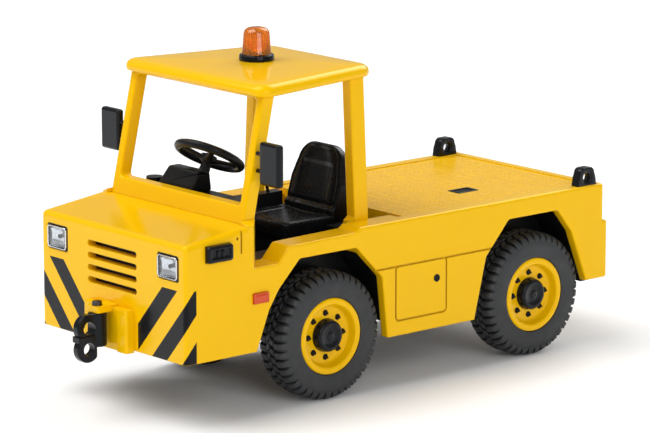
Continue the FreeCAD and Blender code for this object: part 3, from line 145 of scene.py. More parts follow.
@dataclass(frozen=True)
class Finish:
    """A real surface: its colour, its gloss, its grain and how it wears at edges, with a painted highlight on its
    edges and painted shade in its recesses.
    """

    name: str
    colour: str
    drift_colour: str
    drift_mm: float = 9.0
    roughness: float = 0.4
    roughness_swing: float = 0.08
    grain_mm: float = 0.35
    grain_depth_mm: float = 0.004
    # Lighter colour on edges: partly wear, partly a painted highlight.
    edge_wear_and_highlight_colour: str = ""
    edge_mm: float = 0.15
    # Painted shade: this colour is laid into recesses by ambient occlusion.
    recess_shade_colour: str = ""
    recess_shade_mm: float = 0.6
    metallic: float = 0.0
    sheen_colour: str = "#FFFFFF"
    ior: float = 1.5
    transmission: float = 0.0

    def build(self) -> Material:
        """Make the material.

        Returns:
            A node material on Object coordinates.
        """
        material = bpy.data.materials.new(self.name)
        material.use_nodes = True
        tree = material.node_tree
        tree.nodes.clear()
        at = Surface(tree, add_node(tree, "ShaderNodeTexCoord").outputs["Object"])
        shader = add_node(tree, "ShaderNodeBsdfPrincipled",
                          {"IOR": self.ior, "Metallic": self.metallic, "Transmission Weight": self.transmission,
                           "Specular Tint": self.sheen(at), "Base Color": self.tint(at),
                           "Roughness": self.gloss(at), "Normal": self.relief(at)})
        add_node(tree, "ShaderNodeOutputMaterial", {"Surface": shader.outputs[0]})
        material.diffuse_color = linear(self.colour)
        return material

    def tint(self, at: Surface) -> Socket:
        """Colour that drifts slowly, lightens on edges as wear and as a painted highlight, and darkens in recesses as
        painted shade.

        Args:
            at: The material's nodes.

        Returns:
            The colour's socket.
        """
        colour = self.pattern(at, at.mix(at.noise(self.drift_mm, 4.0), self.colour, self.drift_colour))
        # Lighter edges: partly wear, partly a painted highlight.
        if self.edge_wear_and_highlight_colour:
            colour = at.mix(self.worn_and_highlit_edge_mask(at), colour, self.edge_wear_and_highlight_colour)
        # Painted shade: ambient occlusion darkens the colour in recesses and grooves.
        if self.recess_shade_colour:
            occlusion = add_node(at.tree, "ShaderNodeAmbientOcclusion", {"Distance": self.recess_shade_mm * MM},
                              samples=4, only_local=True)
            colour = at.mix(at.remap(occlusion.outputs["AO"], 0.55, 0.15), colour, self.recess_shade_colour)
        return colour

    def pattern(self, at: Surface, colour: Socket) -> Socket:
        """Printed pattern on top of the base colour. A plain finish has none."""
        return colour

    def sheen(self, at: Surface) -> object:
        """Tint of the reflections. A plain finish has one for all of its surface."""
        return linear(self.sheen_colour)

    def soft_edges(self, at: Surface) -> Socket:
        """Normal with its sharp edges rounded, as paint and moulding leave them."""
        return add_node(at.tree, "ShaderNodeBevel", {"Radius": self.edge_mm * MM}, samples=4).outputs[0]

    def worn_and_highlit_edge_mask(self, at: Surface) -> Socket:
        """Find the edges, where the rounded normal leaves the true one, to be lightened as wear and as a painted
        highlight.

        Args:
            at: The material's nodes.

        Returns:
            A socket that rises to 0.75 along an edge.
        """
        true = add_node(at.tree, "ShaderNodeNewGeometry").outputs["Normal"]
        turned = add_node(at.tree, "ShaderNodeVectorMath", {0: self.soft_edges(at), 1: true}, operation="DOT_PRODUCT")
        return at.remap(turned.outputs["Value"], 0.97, 0.72, 0.0, 0.75)

    def gloss(self, at: Surface) -> Socket:
        """Roughness that wanders a little over the surface."""
        low = max(self.roughness - self.roughness_swing, 0.02)
        return at.remap(at.noise(self.drift_mm / 2.2, 3.0), 0.3, 0.7, low, self.roughness + self.roughness_swing)

    def relief(self, at: Surface) -> Socket:
        """Fine grain of the surface, laid over the rounded edges.

        Args:
            at: The material's nodes.

        Returns:
            The normal's socket.
        """
        bump = {"Strength": 1.0, "Distance": self.grain_depth_mm * MM, "Height": at.noise(self.grain_mm, 2.0),
                "Normal": self.soft_edges(at)}
        return add_node(at.tree, "ShaderNodeBump", bump).outputs[0]


@dataclass(frozen=True)
class StripedFinish(Finish):
    """Enamel with two fans of printed hazard stripes across the nose, which rise outwards."""

    stripe_colour: str = "#161617"
    stripe_sheen: str = "#6E6E74"
    nose_mm: float = 0.0
    period_mm: float = 6.7
    first_mm: float = 2.65
    last_mm: float = 6.0
    slope: float = 1.13
    floor_mm: float = 10.0
    top_mm: float = 19.8
    inner_mm: float = 5.8
    wrap_mm: float = 1.9

    def pattern(self, at: Surface, colour: Socket) -> Socket:
        """Printed stripes over the enamel."""
        return at.mix(self.stripes(at), colour, self.stripe_colour)

    def sheen(self, at: Surface) -> object:
        """Warm reflections on the enamel and dim ones on the stripes, whose ink is duller."""
        return at.mix(self.stripes(at), self.sheen_colour, self.stripe_sheen)

    def stripes(self, at: Surface) -> Socket:
        """Mask of the stripes: each is a band of constant distance along the nose less height.

        Args:
            at: The material's nodes.

        Returns:
            A socket that is 1 inside a stripe.
        """
        parts = add_node(at.tree, "ShaderNodeSeparateXYZ", {0: at.place}).outputs
        across = at.sum("ABSOLUTE", parts[0])
        back = at.sum("SUBTRACT", parts[1], self.nose_mm * MM)
        run = at.sum("ADD", across, at.sum("MAXIMUM", back, 0.0))
        fall = at.sum("DIVIDE", at.sum("SUBTRACT", parts[2], self.floor_mm * MM), self.slope)
        reach = at.sum("SUBTRACT", run, fall)
        phase = at.sum("FLOORED_MODULO", reach, self.period_mm * MM)
        tests = (("GREATER_THAN", phase, self.first_mm), ("LESS_THAN", phase, self.last_mm),
                 ("LESS_THAN", parts[2], self.top_mm), ("GREATER_THAN", reach, 0.0),
                 ("GREATER_THAN", across, self.inner_mm), ("LESS_THAN", back, self.wrap_mm))
        return reduce(lambda first, second: at.sum("MULTIPLY", first, second),
                      [at.sum(kind, value, limit * MM) for kind, value, limit in tests])


class Palette:
    """Every finish of the model, made once."""

    def __init__(self, nose_mm: float) -> None:
        """Make the materials.

        Args:
            nose_mm: Place of the nose's front face along the length, where the stripes begin.
        """
        # Stove enamel over a zinc casting: smooth and wet-looking, a shade paler over an edge, partly where it thins
        # and partly as a painted highlight, and darker in recesses as painted shade.
        # Its pigment lies so near the surface that reflections come back warm.
        enamel = dict(colour="#F0BC00", drift_colour="#EDB700", drift_mm=14.0, roughness=0.17, roughness_swing=0.04,
                      grain_mm=0.8, grain_depth_mm=0.004, edge_wear_and_highlight_colour="#F6CA24", edge_mm=0.22,
                      recess_shade_colour="#B07C00", recess_shade_mm=0.5, sheen_colour="#FFDC80")
        self.enamel = Finish(name="stove_enamel_yellow", **enamel).build()
        self.striped = StripedFinish(name="stove_enamel_yellow_with_stripes", nose_mm=nose_mm, **enamel).build()
        # Tread plate in the same enamel, a little duller where it has been stood on, lighter on its edges from wear
        # and a painted highlight.
        self.deck = Finish("tread_plate_enamel", "#EFBB0A", "#EAB404", 4.0, 0.24, 0.07, 0.4, 0.004, "#F3C949", 0.1,
                           sheen_colour="#FFEDB4").build()
        # Soft moulded vinyl, matt from its mould, greyer where the tread rubs, with painted shade in its recesses.
        self.tyre = Finish("moulded_vinyl_tyre", "#252729", "#2D2F31", 3.0, 0.55, 0.08, 0.22, 0.008, "#3D3F41", 0.08,
                           "#121213", 0.5).build()
        # Injection-moulded ABS with a fine spark-eroded texture, a painted highlight on its edges and painted shade
        # in its recesses.
        self.moulding = Finish("moulded_abs_black", "#0E0F10", "#131415", 5.0, 0.34, 0.07, 0.16, 0.005, "#232426",
                               0.14, "#060606", 0.6, sheen_colour="#8C8C90").build()
        # The same ABS from a polished mould: hub caps, nuts, tow gear and lamp bodies, with a painted highlight on
        # its edges and painted shade in its recesses.
        self.polished = Finish("polished_abs_black", "#101113", "#151618", 4.0, 0.16, 0.05, 0.3, 0.003, "#26282B",
                               0.14, "#060607", 0.5, sheen_colour="#96989E").build()
        # Seat moulding, textured like vinyl hide: grain cells of about a fifth of a millimetre, with a painted
        # highlight on its edges and painted shade in its recesses.
        self.hide = Finish("vinyl_hide_texture_black", "#0C0D0E", "#111214", 2.5, 0.27, 0.07, 0.2, 0.008, "#1E1F22",
                           0.12, "#050506", 0.5, sheen_colour="#8C8C90").build()
        # Drawn steel wire, bright and faintly streaked, with a painted highlight on its edges.
        self.steel = Finish("drawn_steel", "#B9BABD", "#A3A4A8", 1.2, 0.28, 0.08, 0.12, 0.004, "#DADBDD", 0.06,
                            metallic=1.0).build()
        # Chemically blacked steel, dull with a brown cast, lighter on its edges from wear and a painted highlight,
        # with painted shade in its recesses.
        self.blacked = Finish("blacked_steel", "#4A4A4C", "#3B3937", 1.0, 0.34, 0.08, 0.12, 0.005, "#7E7E82", 0.08,
                              "#191817", 0.4, metallic=0.85).build()
        # Vacuum plating inside the lamp bowls and round their lenses.
        self.plating = Finish("vacuum_plated_reflector", "#E4E5E8", "#D6D7DB", 2.0, 0.12, 0.04, 0.3, 0.002,
                              metallic=1.0).build()
        # Clear styrene lens, hardly tinted.
        self.clear = Finish("clear_styrene", "#F6F8FA", "#EFF3F6", 3.0, 0.05, 0.02, 0.5, 0.002, ior=1.58,
                            transmission=1.0).build()
        # Amber styrene dome: clear plastic dyed through, so that its colour deepens with its thickness.
        self.amber = Finish("amber_styrene", "#FFAE2E", "#FFA622", 3.0, 0.08, 0.03, 0.5, 0.002, edge_mm=0.1, ior=1.58,
                            transmission=0.88).build()
        # The orange, red and grey mouldings below carry a painted highlight on their edges.
        self.orange = Finish("orange_styrene", "#D2470F", "#C63E0A", 2.0, 0.14, 0.04, 0.3, 0.003, "#EA7A48",
                             0.16).build()
        self.red = Finish("red_styrene", "#A80F0C", "#970B0A", 2.0, 0.16, 0.04, 0.3, 0.003, "#D9564A", 0.14).build()
        self.knob_grey = Finish("moulded_abs_grey", "#5E6063", "#545659", 2.0, 0.35, 0.06, 0.2, 0.004, "#7D7F82",
                                0.1).build()
        self.print_white = Finish("pad_printed_white", "#C9CBCD", "#BFC1C3", 1.0, 0.4, 0.05, 0.1, 0.002).build()


# ---- mesh helpers ---------------------------------------------------------
def box_mm(node: str) -> tuple[Vector, Vector]:
    """Lowest and highest corner of a CAD node, in millimetres."""
    low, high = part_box(node)
    return Vector(low) / MM, Vector(high) / MM


def put_in_scene(name: str, data: bpy.types.ID) -> Piece:
    """Make an object of some data and add it to the scene.

    Args:
        name: Name of the object.
        data: Its mesh, light or camera.

    Returns:
        The object, at the origin.
    """
    thing = bpy.data.objects.new(name, data)
    bpy.context.scene.collection.objects.link(thing)
    return thing


def loft(form: Form, rings: Sequence[Sequence[Vector]], closed: bool = False) -> None:
    """Skin a row of rings of equal count.

    Args:
        form: Mesh under construction.
        rings: Rings of points, each one closed.
        closed: True to join the last ring to the first, false to cap both ends.
    """
    rows = [[form.verts.new(point) for point in ring] for ring in rings]
    pairs = list(zip(rows, rows[1:]))
    if closed:
        pairs.append((rows[-1], rows[0]))
    for row, after in pairs:
        for i in range(len(row)):
            j = (i + 1) % len(row)
            form.faces.new((row[i], row[j], after[j], after[i]))
    if not closed:
        form.faces.new(rows[0])
        form.faces.new(rows[-1])


def turned(form: Form, outline: Outline, centre: Vector, axis: Vector, count: int = 72,
           ripple: Callable[[int, float], float] | None = None) -> None:
    """Turn an outline about an axis, as on a lathe.

    Args:
        form: Mesh under construction.
        outline: Closed outline of (distance along the axis, radius) points. Points at radius 0 make a pole.
        centre: Point on the axis from which distances are measured.
        axis: Direction of the axis.
        count: Number of steps around.
        ripple: Change of the radius, from the outline point's number and the turn.
    """
    spin = axis.to_track_quat("Z", "Y").to_matrix()
    rings = []
    for step in range(count):
        turn = 2 * math.pi * step / count
        ring = []
        for i, (along, radius) in enumerate(outline):
            r = radius + (ripple(i, turn) if ripple and radius > 0 else 0.0)
            ring.append(centre + spin @ Vector((r * math.cos(turn), r * math.sin(turn), along)))
        rings.append(ring)
    loft(form, rings, closed=True)


def round_rectangle(half_x: float, half_y: float, radius: float, steps: int = 5) -> Outline:
    """Outline a rectangle with round corners.

    Args:
        half_x: Half of its width.
        half_y: Half of its height.
        radius: Radius of its corners.
        steps: Steps round each corner, which alone decide the number of points.

    Returns:
        The outline's points.
    """
    points = []
    for sign_x, sign_y, start in ((1, 1, 0), (-1, 1, 90), (-1, -1, 180), (1, -1, 270)):
        for step in range(steps + 1):
            turn = math.radians(start + 90 * step / steps)
            points.append((sign_x * (half_x - radius) + radius * math.cos(turn),
                           sign_y * (half_y - radius) + radius * math.sin(turn)))
    return points


def made(name: str, form: Form, finish: Material, crease: float = 38.0) -> Piece:
    """Close a mesh drawn in millimetres and make it an object in metres.

    Args:
        name: Name of the piece.
        form: The finished mesh, which is used up.
        finish: Its material.
        crease: Angle in degrees past which an edge stays sharp.

    Returns:
        The object, at the origin, with its place in its mesh.
    """
    bmesh.ops.remove_doubles(form, verts=form.verts, dist=1e-5)
    bmesh.ops.dissolve_degenerate(form, edges=form.edges, dist=1e-6)
    bmesh.ops.recalc_face_normals(form, faces=form.faces)
    bmesh.ops.scale(form, vec=(MM, MM, MM), verts=form.verts)
    mesh = bpy.data.meshes.new(name)
    form.to_mesh(mesh)
    form.free()
    mesh.shade_smooth()
    mesh.set_sharp_from_angle(angle=math.radians(crease))
    mesh.materials.append(finish)
    return put_in_scene(name, mesh)


def lathe(name: str, finish: Material, crease: float, outline: Outline, centre: Vector, axis: Vector,
          count: int = 72, ripple: Callable[[int, float], float] | None = None) -> Piece:
    """Make a piece that is one turned outline.

    Args:
        name: Name of the piece.
        finish: Its material.
        crease: Angle in degrees past which an edge stays sharp.
        outline: Closed outline of (distance along the axis, radius) points.
        centre: Point on the axis from which distances are measured.
        axis: Direction of the axis.
        count: Number of steps around.
        ripple: Change of the radius, from the outline point's number and the turn.

    Returns:
        The piece.
    """
    form = bmesh.new()
    turned(form, outline, centre, axis, count, ripple)
    return made(name, form, finish, crease)


@dataclass(frozen=True)
class Terraced:
    """A block of round rectangles laid one over another, which stands on a face of the model."""

    half: tuple[float, float]
    levels: Outline
    place: Callable[[float, float, float], tuple[float, float, float]]
    corner: float
    corner_fall: float = 1.0
    least_corner: float = 0.0
    corner_steps: int = 5
    open_ring: bool = False

    def build(self, name: str, finish: Material, crease: float) -> Piece:
        """Skin the block from its (inset, height) levels.

        Args:
            name: Name of the piece.
            finish: Its material.
            crease: Angle in degrees past which an edge stays sharp.

        Returns:
            The piece.
        """
        form = bmesh.new()
        rings = []
        for inset, out in self.levels:
            radius = max(self.corner - inset * self.corner_fall, self.least_corner)
            outline = round_rectangle(self.half[0] - inset, self.half[1] - inset, radius, self.corner_steps)
            rings.append([Vector(self.place(x, y, out)) for x, y in outline])
        loft(form, rings, self.open_ring)
        return made(name, form, finish, crease)


def settle(piece: Piece, body: str, slot: str, *nodes: str) -> Piece:
    """Put a finished piece on its body, hide the CAD nodes it stands for, and log it.

    Args:
        piece: The finished piece.
        body: Body that it rides.
        slot: Not used.
        nodes: CAD nodes that it replaces.

    Returns:
        The same piece.
    """
    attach(piece, body)
    if nodes:
        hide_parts(*nodes)
    LOG.info("%s: %d faces on %s", piece.name, len(piece.data.polygons), body)
    return piece


def joined(name: str, pieces: Iterable[Piece]) -> Piece:
    """Merge several objects of the same finish into one and delete them.

    Args:
        name: Name of the merged piece.
        pieces: The objects.

    Returns:
        The merged piece.
    """
    form = bmesh.new()
    parts = list(pieces)
    material = parts[0].data.materials[0]
    for part in parts:
        form.from_mesh(part.data)
        bpy.data.objects.remove(part)
    mesh = bpy.data.meshes.new(name)
    form.to_mesh(mesh)
    form.free()
    mesh.materials.append(material)
    return put_in_scene(name, mesh)


# ---- repeats in Geometry Nodes --------------------------------------------
class Repeat(Enum):
    """The ways in which one small shape is repeated."""

    AROUND = "repeat_around_an_axle"
    ROW = "repeat_in_a_row"
    SHEET = "repeat_over_a_sheet"


class Repeater:
    """Holds the node trees that repeat a shape, and runs them."""

    def __init__(self) -> None:
        """Build the three trees."""
        self.trees = {kind: self._tree(kind) for kind in Repeat}

    def run(self, piece: Piece, kind: Repeat, **values: object) -> Piece:
        """Repeat a piece's mesh and keep the result as its plain mesh.

        Args:
            piece: The object whose mesh is one copy of the shape.
            kind: Way of repeating.
            values: Inputs of the tree, by name with underscores for spaces.

        Returns:
            The same object.
        """
        tree = self.trees[kind]
        modifier = piece.modifiers.new(kind.value, "NODES")
        modifier.node_group = tree
        values["Finish"] = piece.data.materials[0]
        wanted = {name.replace("_", " "): value for name, value in values.items()}
        for item in tree.interface.items_tree:
            if item.item_type == "SOCKET" and item.in_out == "INPUT" and item.name in wanted:
                modifier[item.identifier] = wanted[item.name]
        graph = bpy.context.evaluated_depsgraph_get()
        mesh = bpy.data.meshes.new_from_object(piece.evaluated_get(graph), depsgraph=graph)
        piece.modifiers.remove(modifier)
        mesh.materials.clear()
        mesh.materials.append(values["Finish"])
        piece.data = mesh
        return piece

    def _tree(self, kind: Repeat) -> Tree:
        """Build one tree: points, a copy on each, Realize Instances and Set Material.

        Args:
            kind: Way of repeating.

        Returns:
            The tree.
        """
        tree = bpy.data.node_groups.new(kind.value, "GeometryNodeTree")
        face = tree.interface
        face.new_socket("Geometry", in_out="OUTPUT", socket_type="NodeSocketGeometry")
        wanted = [("Geometry", "Geometry"), ("Finish", "Material"), ("Count", "Int"), ("Centre", "Vector"),
                  ("Step", "Vector")]
        if kind is Repeat.SHEET:
            wanted += [("Rows", "Int"), ("Turn", "Float"), ("Gap Low", "Vector"), ("Gap High", "Vector")]
        for name, sort in wanted:
            face.new_socket(name, in_out="INPUT", socket_type=f"NodeSocket{sort}")
        given = add_node(tree, "NodeGroupInput").outputs
        index = add_node(tree, "GeometryNodeInputIndex").outputs[0]
        away = add_node(tree, "ShaderNodeVectorMath", {0: given["Centre"], "Scale": -1.0}, operation="SCALE")
        shape = add_node(tree, "GeometryNodeTransform",
                         {"Geometry": given["Geometry"], "Translation": away.outputs[0]})
        if kind is Repeat.SHEET:
            cloud, turn = self._sheet_points(tree, given, index)
        else:
            around = kind is Repeat.AROUND
            offset = (0.0, 0.0, 0.0) if around else given["Step"]
            share = index if around else 0.0
            cloud = add_node(tree, "GeometryNodeMeshLine", {"Count": given["Count"], "Offset": offset}).outputs[0]
            turn = add_node(tree, "ShaderNodeVectorMath", {0: given["Step"], "Scale": share},
                            operation="SCALE").outputs[0]
        copies = add_node(tree, "GeometryNodeInstanceOnPoints",
                          {"Points": cloud, "Instance": shape.outputs[0], "Rotation": turn})
        real = add_node(tree, "GeometryNodeRealizeInstances", {"Geometry": copies.outputs[0]})
        back = add_node(tree, "GeometryNodeTransform", {"Geometry": real.outputs[0], "Translation": given["Centre"]})
        dressed = add_node(tree, "GeometryNodeSetMaterial",
                           {"Geometry": back.outputs[0], "Material": given["Finish"]})
        add_node(tree, "NodeGroupOutput", {0: dressed.outputs[0]})
        return tree

    @staticmethod
    def _sheet_points(tree: Tree, given: bpy.types.NodeInputs,
                      index: Socket) -> tuple[Socket, Socket]:
        """Points of a sheet, less those in a gap, and a turn for every other one.

        Args:
            tree: The tree under construction.
            given: Sockets of the tree's inputs.
            index: Number of the point.

        Returns:
            Sockets of the points and of each copy's turn.
        """
        step = add_node(tree, "ShaderNodeSeparateXYZ", {0: given["Step"]})
        spans = []
        for count, pitch in ((given["Count"], step.outputs[0]), (given["Rows"], step.outputs[1])):
            less = work_out(tree, "SUBTRACT", count, 1.0)
            spans.append(work_out(tree, "MULTIPLY", less, pitch))
        grid = add_node(tree, "GeometryNodeMeshGrid", {"Size X": spans[0], "Size Y": spans[1],
                                                       "Vertices X": given["Count"], "Vertices Y": given["Rows"]})
        parity = work_out(tree, "FLOORED_MODULO", index, 2.0)
        angle = work_out(tree, "MULTIPLY", parity, given["Turn"])
        kept = add_node(tree, "GeometryNodeStoreNamedAttribute",
                        {"Geometry": grid.outputs[0], "Name": "quarter_turn", "Value": angle},
                        data_type="FLOAT", domain="POINT")
        here = add_node(tree, "GeometryNodeInputPosition").outputs[0]
        there = add_node(tree, "ShaderNodeVectorMath", {0: here, 1: given["Centre"]}, operation="ADD").outputs[0]
        place = add_node(tree, "ShaderNodeSeparateXYZ", {0: there})
        low = add_node(tree, "ShaderNodeSeparateXYZ", {0: given["Gap Low"]})
        high = add_node(tree, "ShaderNodeSeparateXYZ", {0: given["Gap High"]})
        tests = [work_out(tree, sum_kind, place.outputs[i], bound.outputs[i])
                 for i in (0, 1) for sum_kind, bound in (("GREATER_THAN", low), ("LESS_THAN", high))]
        mask = reduce(lambda first, second: work_out(tree, "MULTIPLY", first, second), tests)
        left = add_node(tree, "GeometryNodeDeleteGeometry", {"Geometry": kept.outputs[0], "Selection": mask},
                        domain="POINT")
        read = add_node(tree, "GeometryNodeInputNamedAttribute", {"Name": "quarter_turn"}, data_type="FLOAT")
        turn = add_node(tree, "ShaderNodeCombineXYZ", {"Z": read.outputs[0]})
        return left.outputs[0], turn.outputs[0]


# ---- wheels ---------------------------------------------------------------
@dataclass
class Assembly:
    """A group of pieces, with the finishes and the repeats that it draws on."""

    palette: Palette
    repeater: Repeater

    def build(self) -> None:
        """Build every piece of the group."""
        raise NotImplementedError

    def keep(self, piece: Piece, slot: str, *nodes: str) -> None:
        """Put a finished piece on the chassis and hide the CAD nodes it stands for."""
        settle(piece, CHASSIS, slot, *nodes)


@dataclass
class Wheel(Assembly):
    """One wheel: a soft tyre with moulded lugs, a dished rim, its nuts and its hub cap."""

    end: str
    side: str
    half_width: float = 2.8
    lug_count: int = 42
    lug_width: float = 0.86
    lug_bevel: float = 0.07
    lug_flare: float = 0.22
    tread_radius: float = 9.29
    nut_count: int = 8
    nut_circle: float = 3.22
    nut_radius: float = 0.34
    nut_height: float = 0.36
    sign: int = field(init=False)
    centre: Vector = field(init=False)
    disc: float = field(init=False)

    def __post_init__(self) -> None:
        """Find the wheel's centre and its disc from the CAD nodes."""
        self.sign = SIDES[self.side]
        low, high = box_mm(f"tyre_{self.end}_{self.side}")
        self.centre = (low + high) / 2
        cap_low, cap_high = box_mm(f"hub_cap_{self.end}_{self.side}")
        near = cap_low.x if self.sign > 0 else cap_high.x
        self.disc = (near - self.centre.x) * self.sign

    @property
    def body(self) -> str:
        """Name of the body that the wheel turns with."""
        return f"wheel_{self.end}_{self.side}"

    @property
    def axis(self) -> Vector:
        """Direction out of the vehicle."""
        return Vector((self.sign, 0, 0))

    def build(self) -> None:
        """Build every piece of the wheel."""
        self.tyre()
        self.rim()
        self.hub_cap()
        self.nuts()

    def tyre(self) -> None:
        """Smooth carcass with four rows of lugs, the outer two wrapped over the shoulders."""
        flank = [(2.66, 5.62), (2.77, 5.85), (2.8, 6.4), (2.8, 7.2), (2.76, 7.8), (2.66, 8.2), (2.4, 8.5),
                 (1.8, 8.66), (0.9, 8.72)]
        outline = [(2.28, 5.0), (2.28, 5.6)] + flank + [(0.0, 8.74)] + [(-d, r) for d, r in reversed(flank)]
        carcass = lathe("carcass", self.palette.tyre, 50.0, outline + [(-2.7, 5.2), (-2.7, 5.0)], self.centre,
                        self.axis, 96)
        form = bmesh.new()
        shoulder = [(2.79, 8.12), (2.7, 8.6), (2.44, 8.98), (2.0, 9.22), (1.5, 9.29), (0.95, 9.29), (0.95, 8.5),
                    (1.7, 8.4), (2.3, 8.2), (2.6, 8.05)]
        block = [(0.78, 9.29), (0.08, 9.29), (0.08, 8.5), (0.78, 8.5)]
        pitch = 2 * math.pi * self.centre.z / self.lug_count
        for side in (1, -1):
            self._lug(form, [(side * d, r) for d, r in shoulder], 0.25 * side * pitch, 0.05 * side)
            shift = 0.25 * side * pitch - side * 0.45 * pitch
            self._lug(form, [(side * d, r) for d, r in block], shift, -0.55 * side)
        bmesh.ops.bevel(form, geom=list(form.edges), offset=self.lug_bevel, segments=1, affect="EDGES",
                        clamp_overlap=True)
        lugs = made("lugs", form, self.palette.tyre, 30.0)
        self.ring(lugs, self.lug_count)
        tyre = joined(f"tyre_with_lugs_{self.end}_{self.side}", (carcass, lugs))
        settle(tyre, self.body, "soft_tyre", f"tyre_{self.end}_{self.side}")

    def ring(self, piece: Piece, count: int) -> None:
        """Repeat a piece around the wheel's axis."""
        self.repeater.run(piece, Repeat.AROUND, Count=count, Centre=self.centre * MM,
                          Step=(2 * math.pi / count, 0.0, 0.0))

    def _lug(self, form: Form, outline: Outline, shift: float, skew: float) -> None:
        """Draw one lug on top of the tyre, a little wider at its foot.

        Args:
            form: Mesh under construction.
            outline: Section of (distance across, radius) points.
            shift: How far the lug lies ahead of the middle.
            skew: Run of the lug for each step across.
        """
        rings = []
        for edge in (-1, 1):
            ring = []
            for across, radius in outline:
                foot = 1.0 + self.lug_flare * max(0.0, (self.tread_radius - radius) / 1.8)
                run = shift + skew * across + edge * self.lug_width / 2 * foot
                height = math.sqrt(radius * radius - run * run)
                ring.append(self.centre + Vector((self.sign * across, run, height)))
            rings.append(ring)
        loft(form, rings)

    def rim(self) -> None:
        """Pressed rim with a rolled flange and a dished disc."""
        face = self.half_width - 0.1
        disc = self.disc
        outline = [(-face, 4.95), (-face, 4.45), (disc - 0.8, 3.95), (disc - 0.8, 1.9), (-4.45, 1.9), (-4.45, 1.05),
                   (disc, 1.05), (disc, 3.95), (disc + 0.06, 4.17), (disc + 0.22, 4.33), (face - 0.32, 4.52),
                   (face - 0.12, 4.6), (face - 0.02, 4.75), (face, 4.95), (face, 5.25), (face - 0.04, 5.42),
                   (face - 0.13, 5.52), (face - 0.25, 5.55), (face - 0.35, 5.55), (face - 0.35, 4.95)]
        rim = lathe(f"pressed_rim_{self.end}_{self.side}", self.palette.enamel, 32.0, outline, self.centre,
                    self.axis, 96)
        settle(rim, self.body, "rim_paint", f"rim_{self.end}_{self.side}")

    def hub_cap(self) -> None:
        """Turned cap with a stepped foot, a rounded edge and a shallow centre."""
        d = self.disc
        steps = ((0.02, 1.85), (0.02, 2.4), (0.2, 2.42), (0.28, 2.34), (0.98, 2.28), (1.15, 2.2), (1.26, 2.05),
                 (1.3, 1.85), (1.28, 1.55), (1.22, 1.45), (1.2, 0.7), (1.26, 0.6), (1.28, 0.3), (1.28, 0.0),
                 (0.8, 0.0), (0.8, 1.85))
        cap = lathe(f"turned_hub_cap_{self.end}_{self.side}", self.palette.polished, 30.0,
                    [(d + out, radius) for out, radius in steps], self.centre, self.axis, 64)
        settle(cap, self.body, "black_gloss", f"hub_cap_{self.end}_{self.side}")

    def nuts(self) -> None:
        """Hexagon nuts on washers, with the ends of their studs."""
        middle = self.centre + Vector((0, 0, self.nut_circle))
        washer = ((-0.05, 0.0), (-0.05, 0.46), (0.06, 0.46), (0.06, 0.0))
        nut = ((0.02, 0.0), (0.02, self.nut_radius), (self.nut_height - 0.08, self.nut_radius),
               (self.nut_height, self.nut_radius - 0.1), (self.nut_height, 0.0))
        stud = ((0.1, 0.0), (0.1, 0.18), (0.56, 0.18), (0.6, 0.12), (0.6, 0.0))
        form = bmesh.new()
        for steps, count in ((washer, 12), (nut, 6), (stud, 8)):
            turned(form, [(self.disc + out, radius) for out, radius in steps], middle, self.axis, count)
        nuts = made(f"wheel_nuts_{self.end}_{self.side}", form, self.palette.polished, 25.0)
        self.ring(nuts, self.nut_count)
        settle(nuts, self.body, "black_gloss")


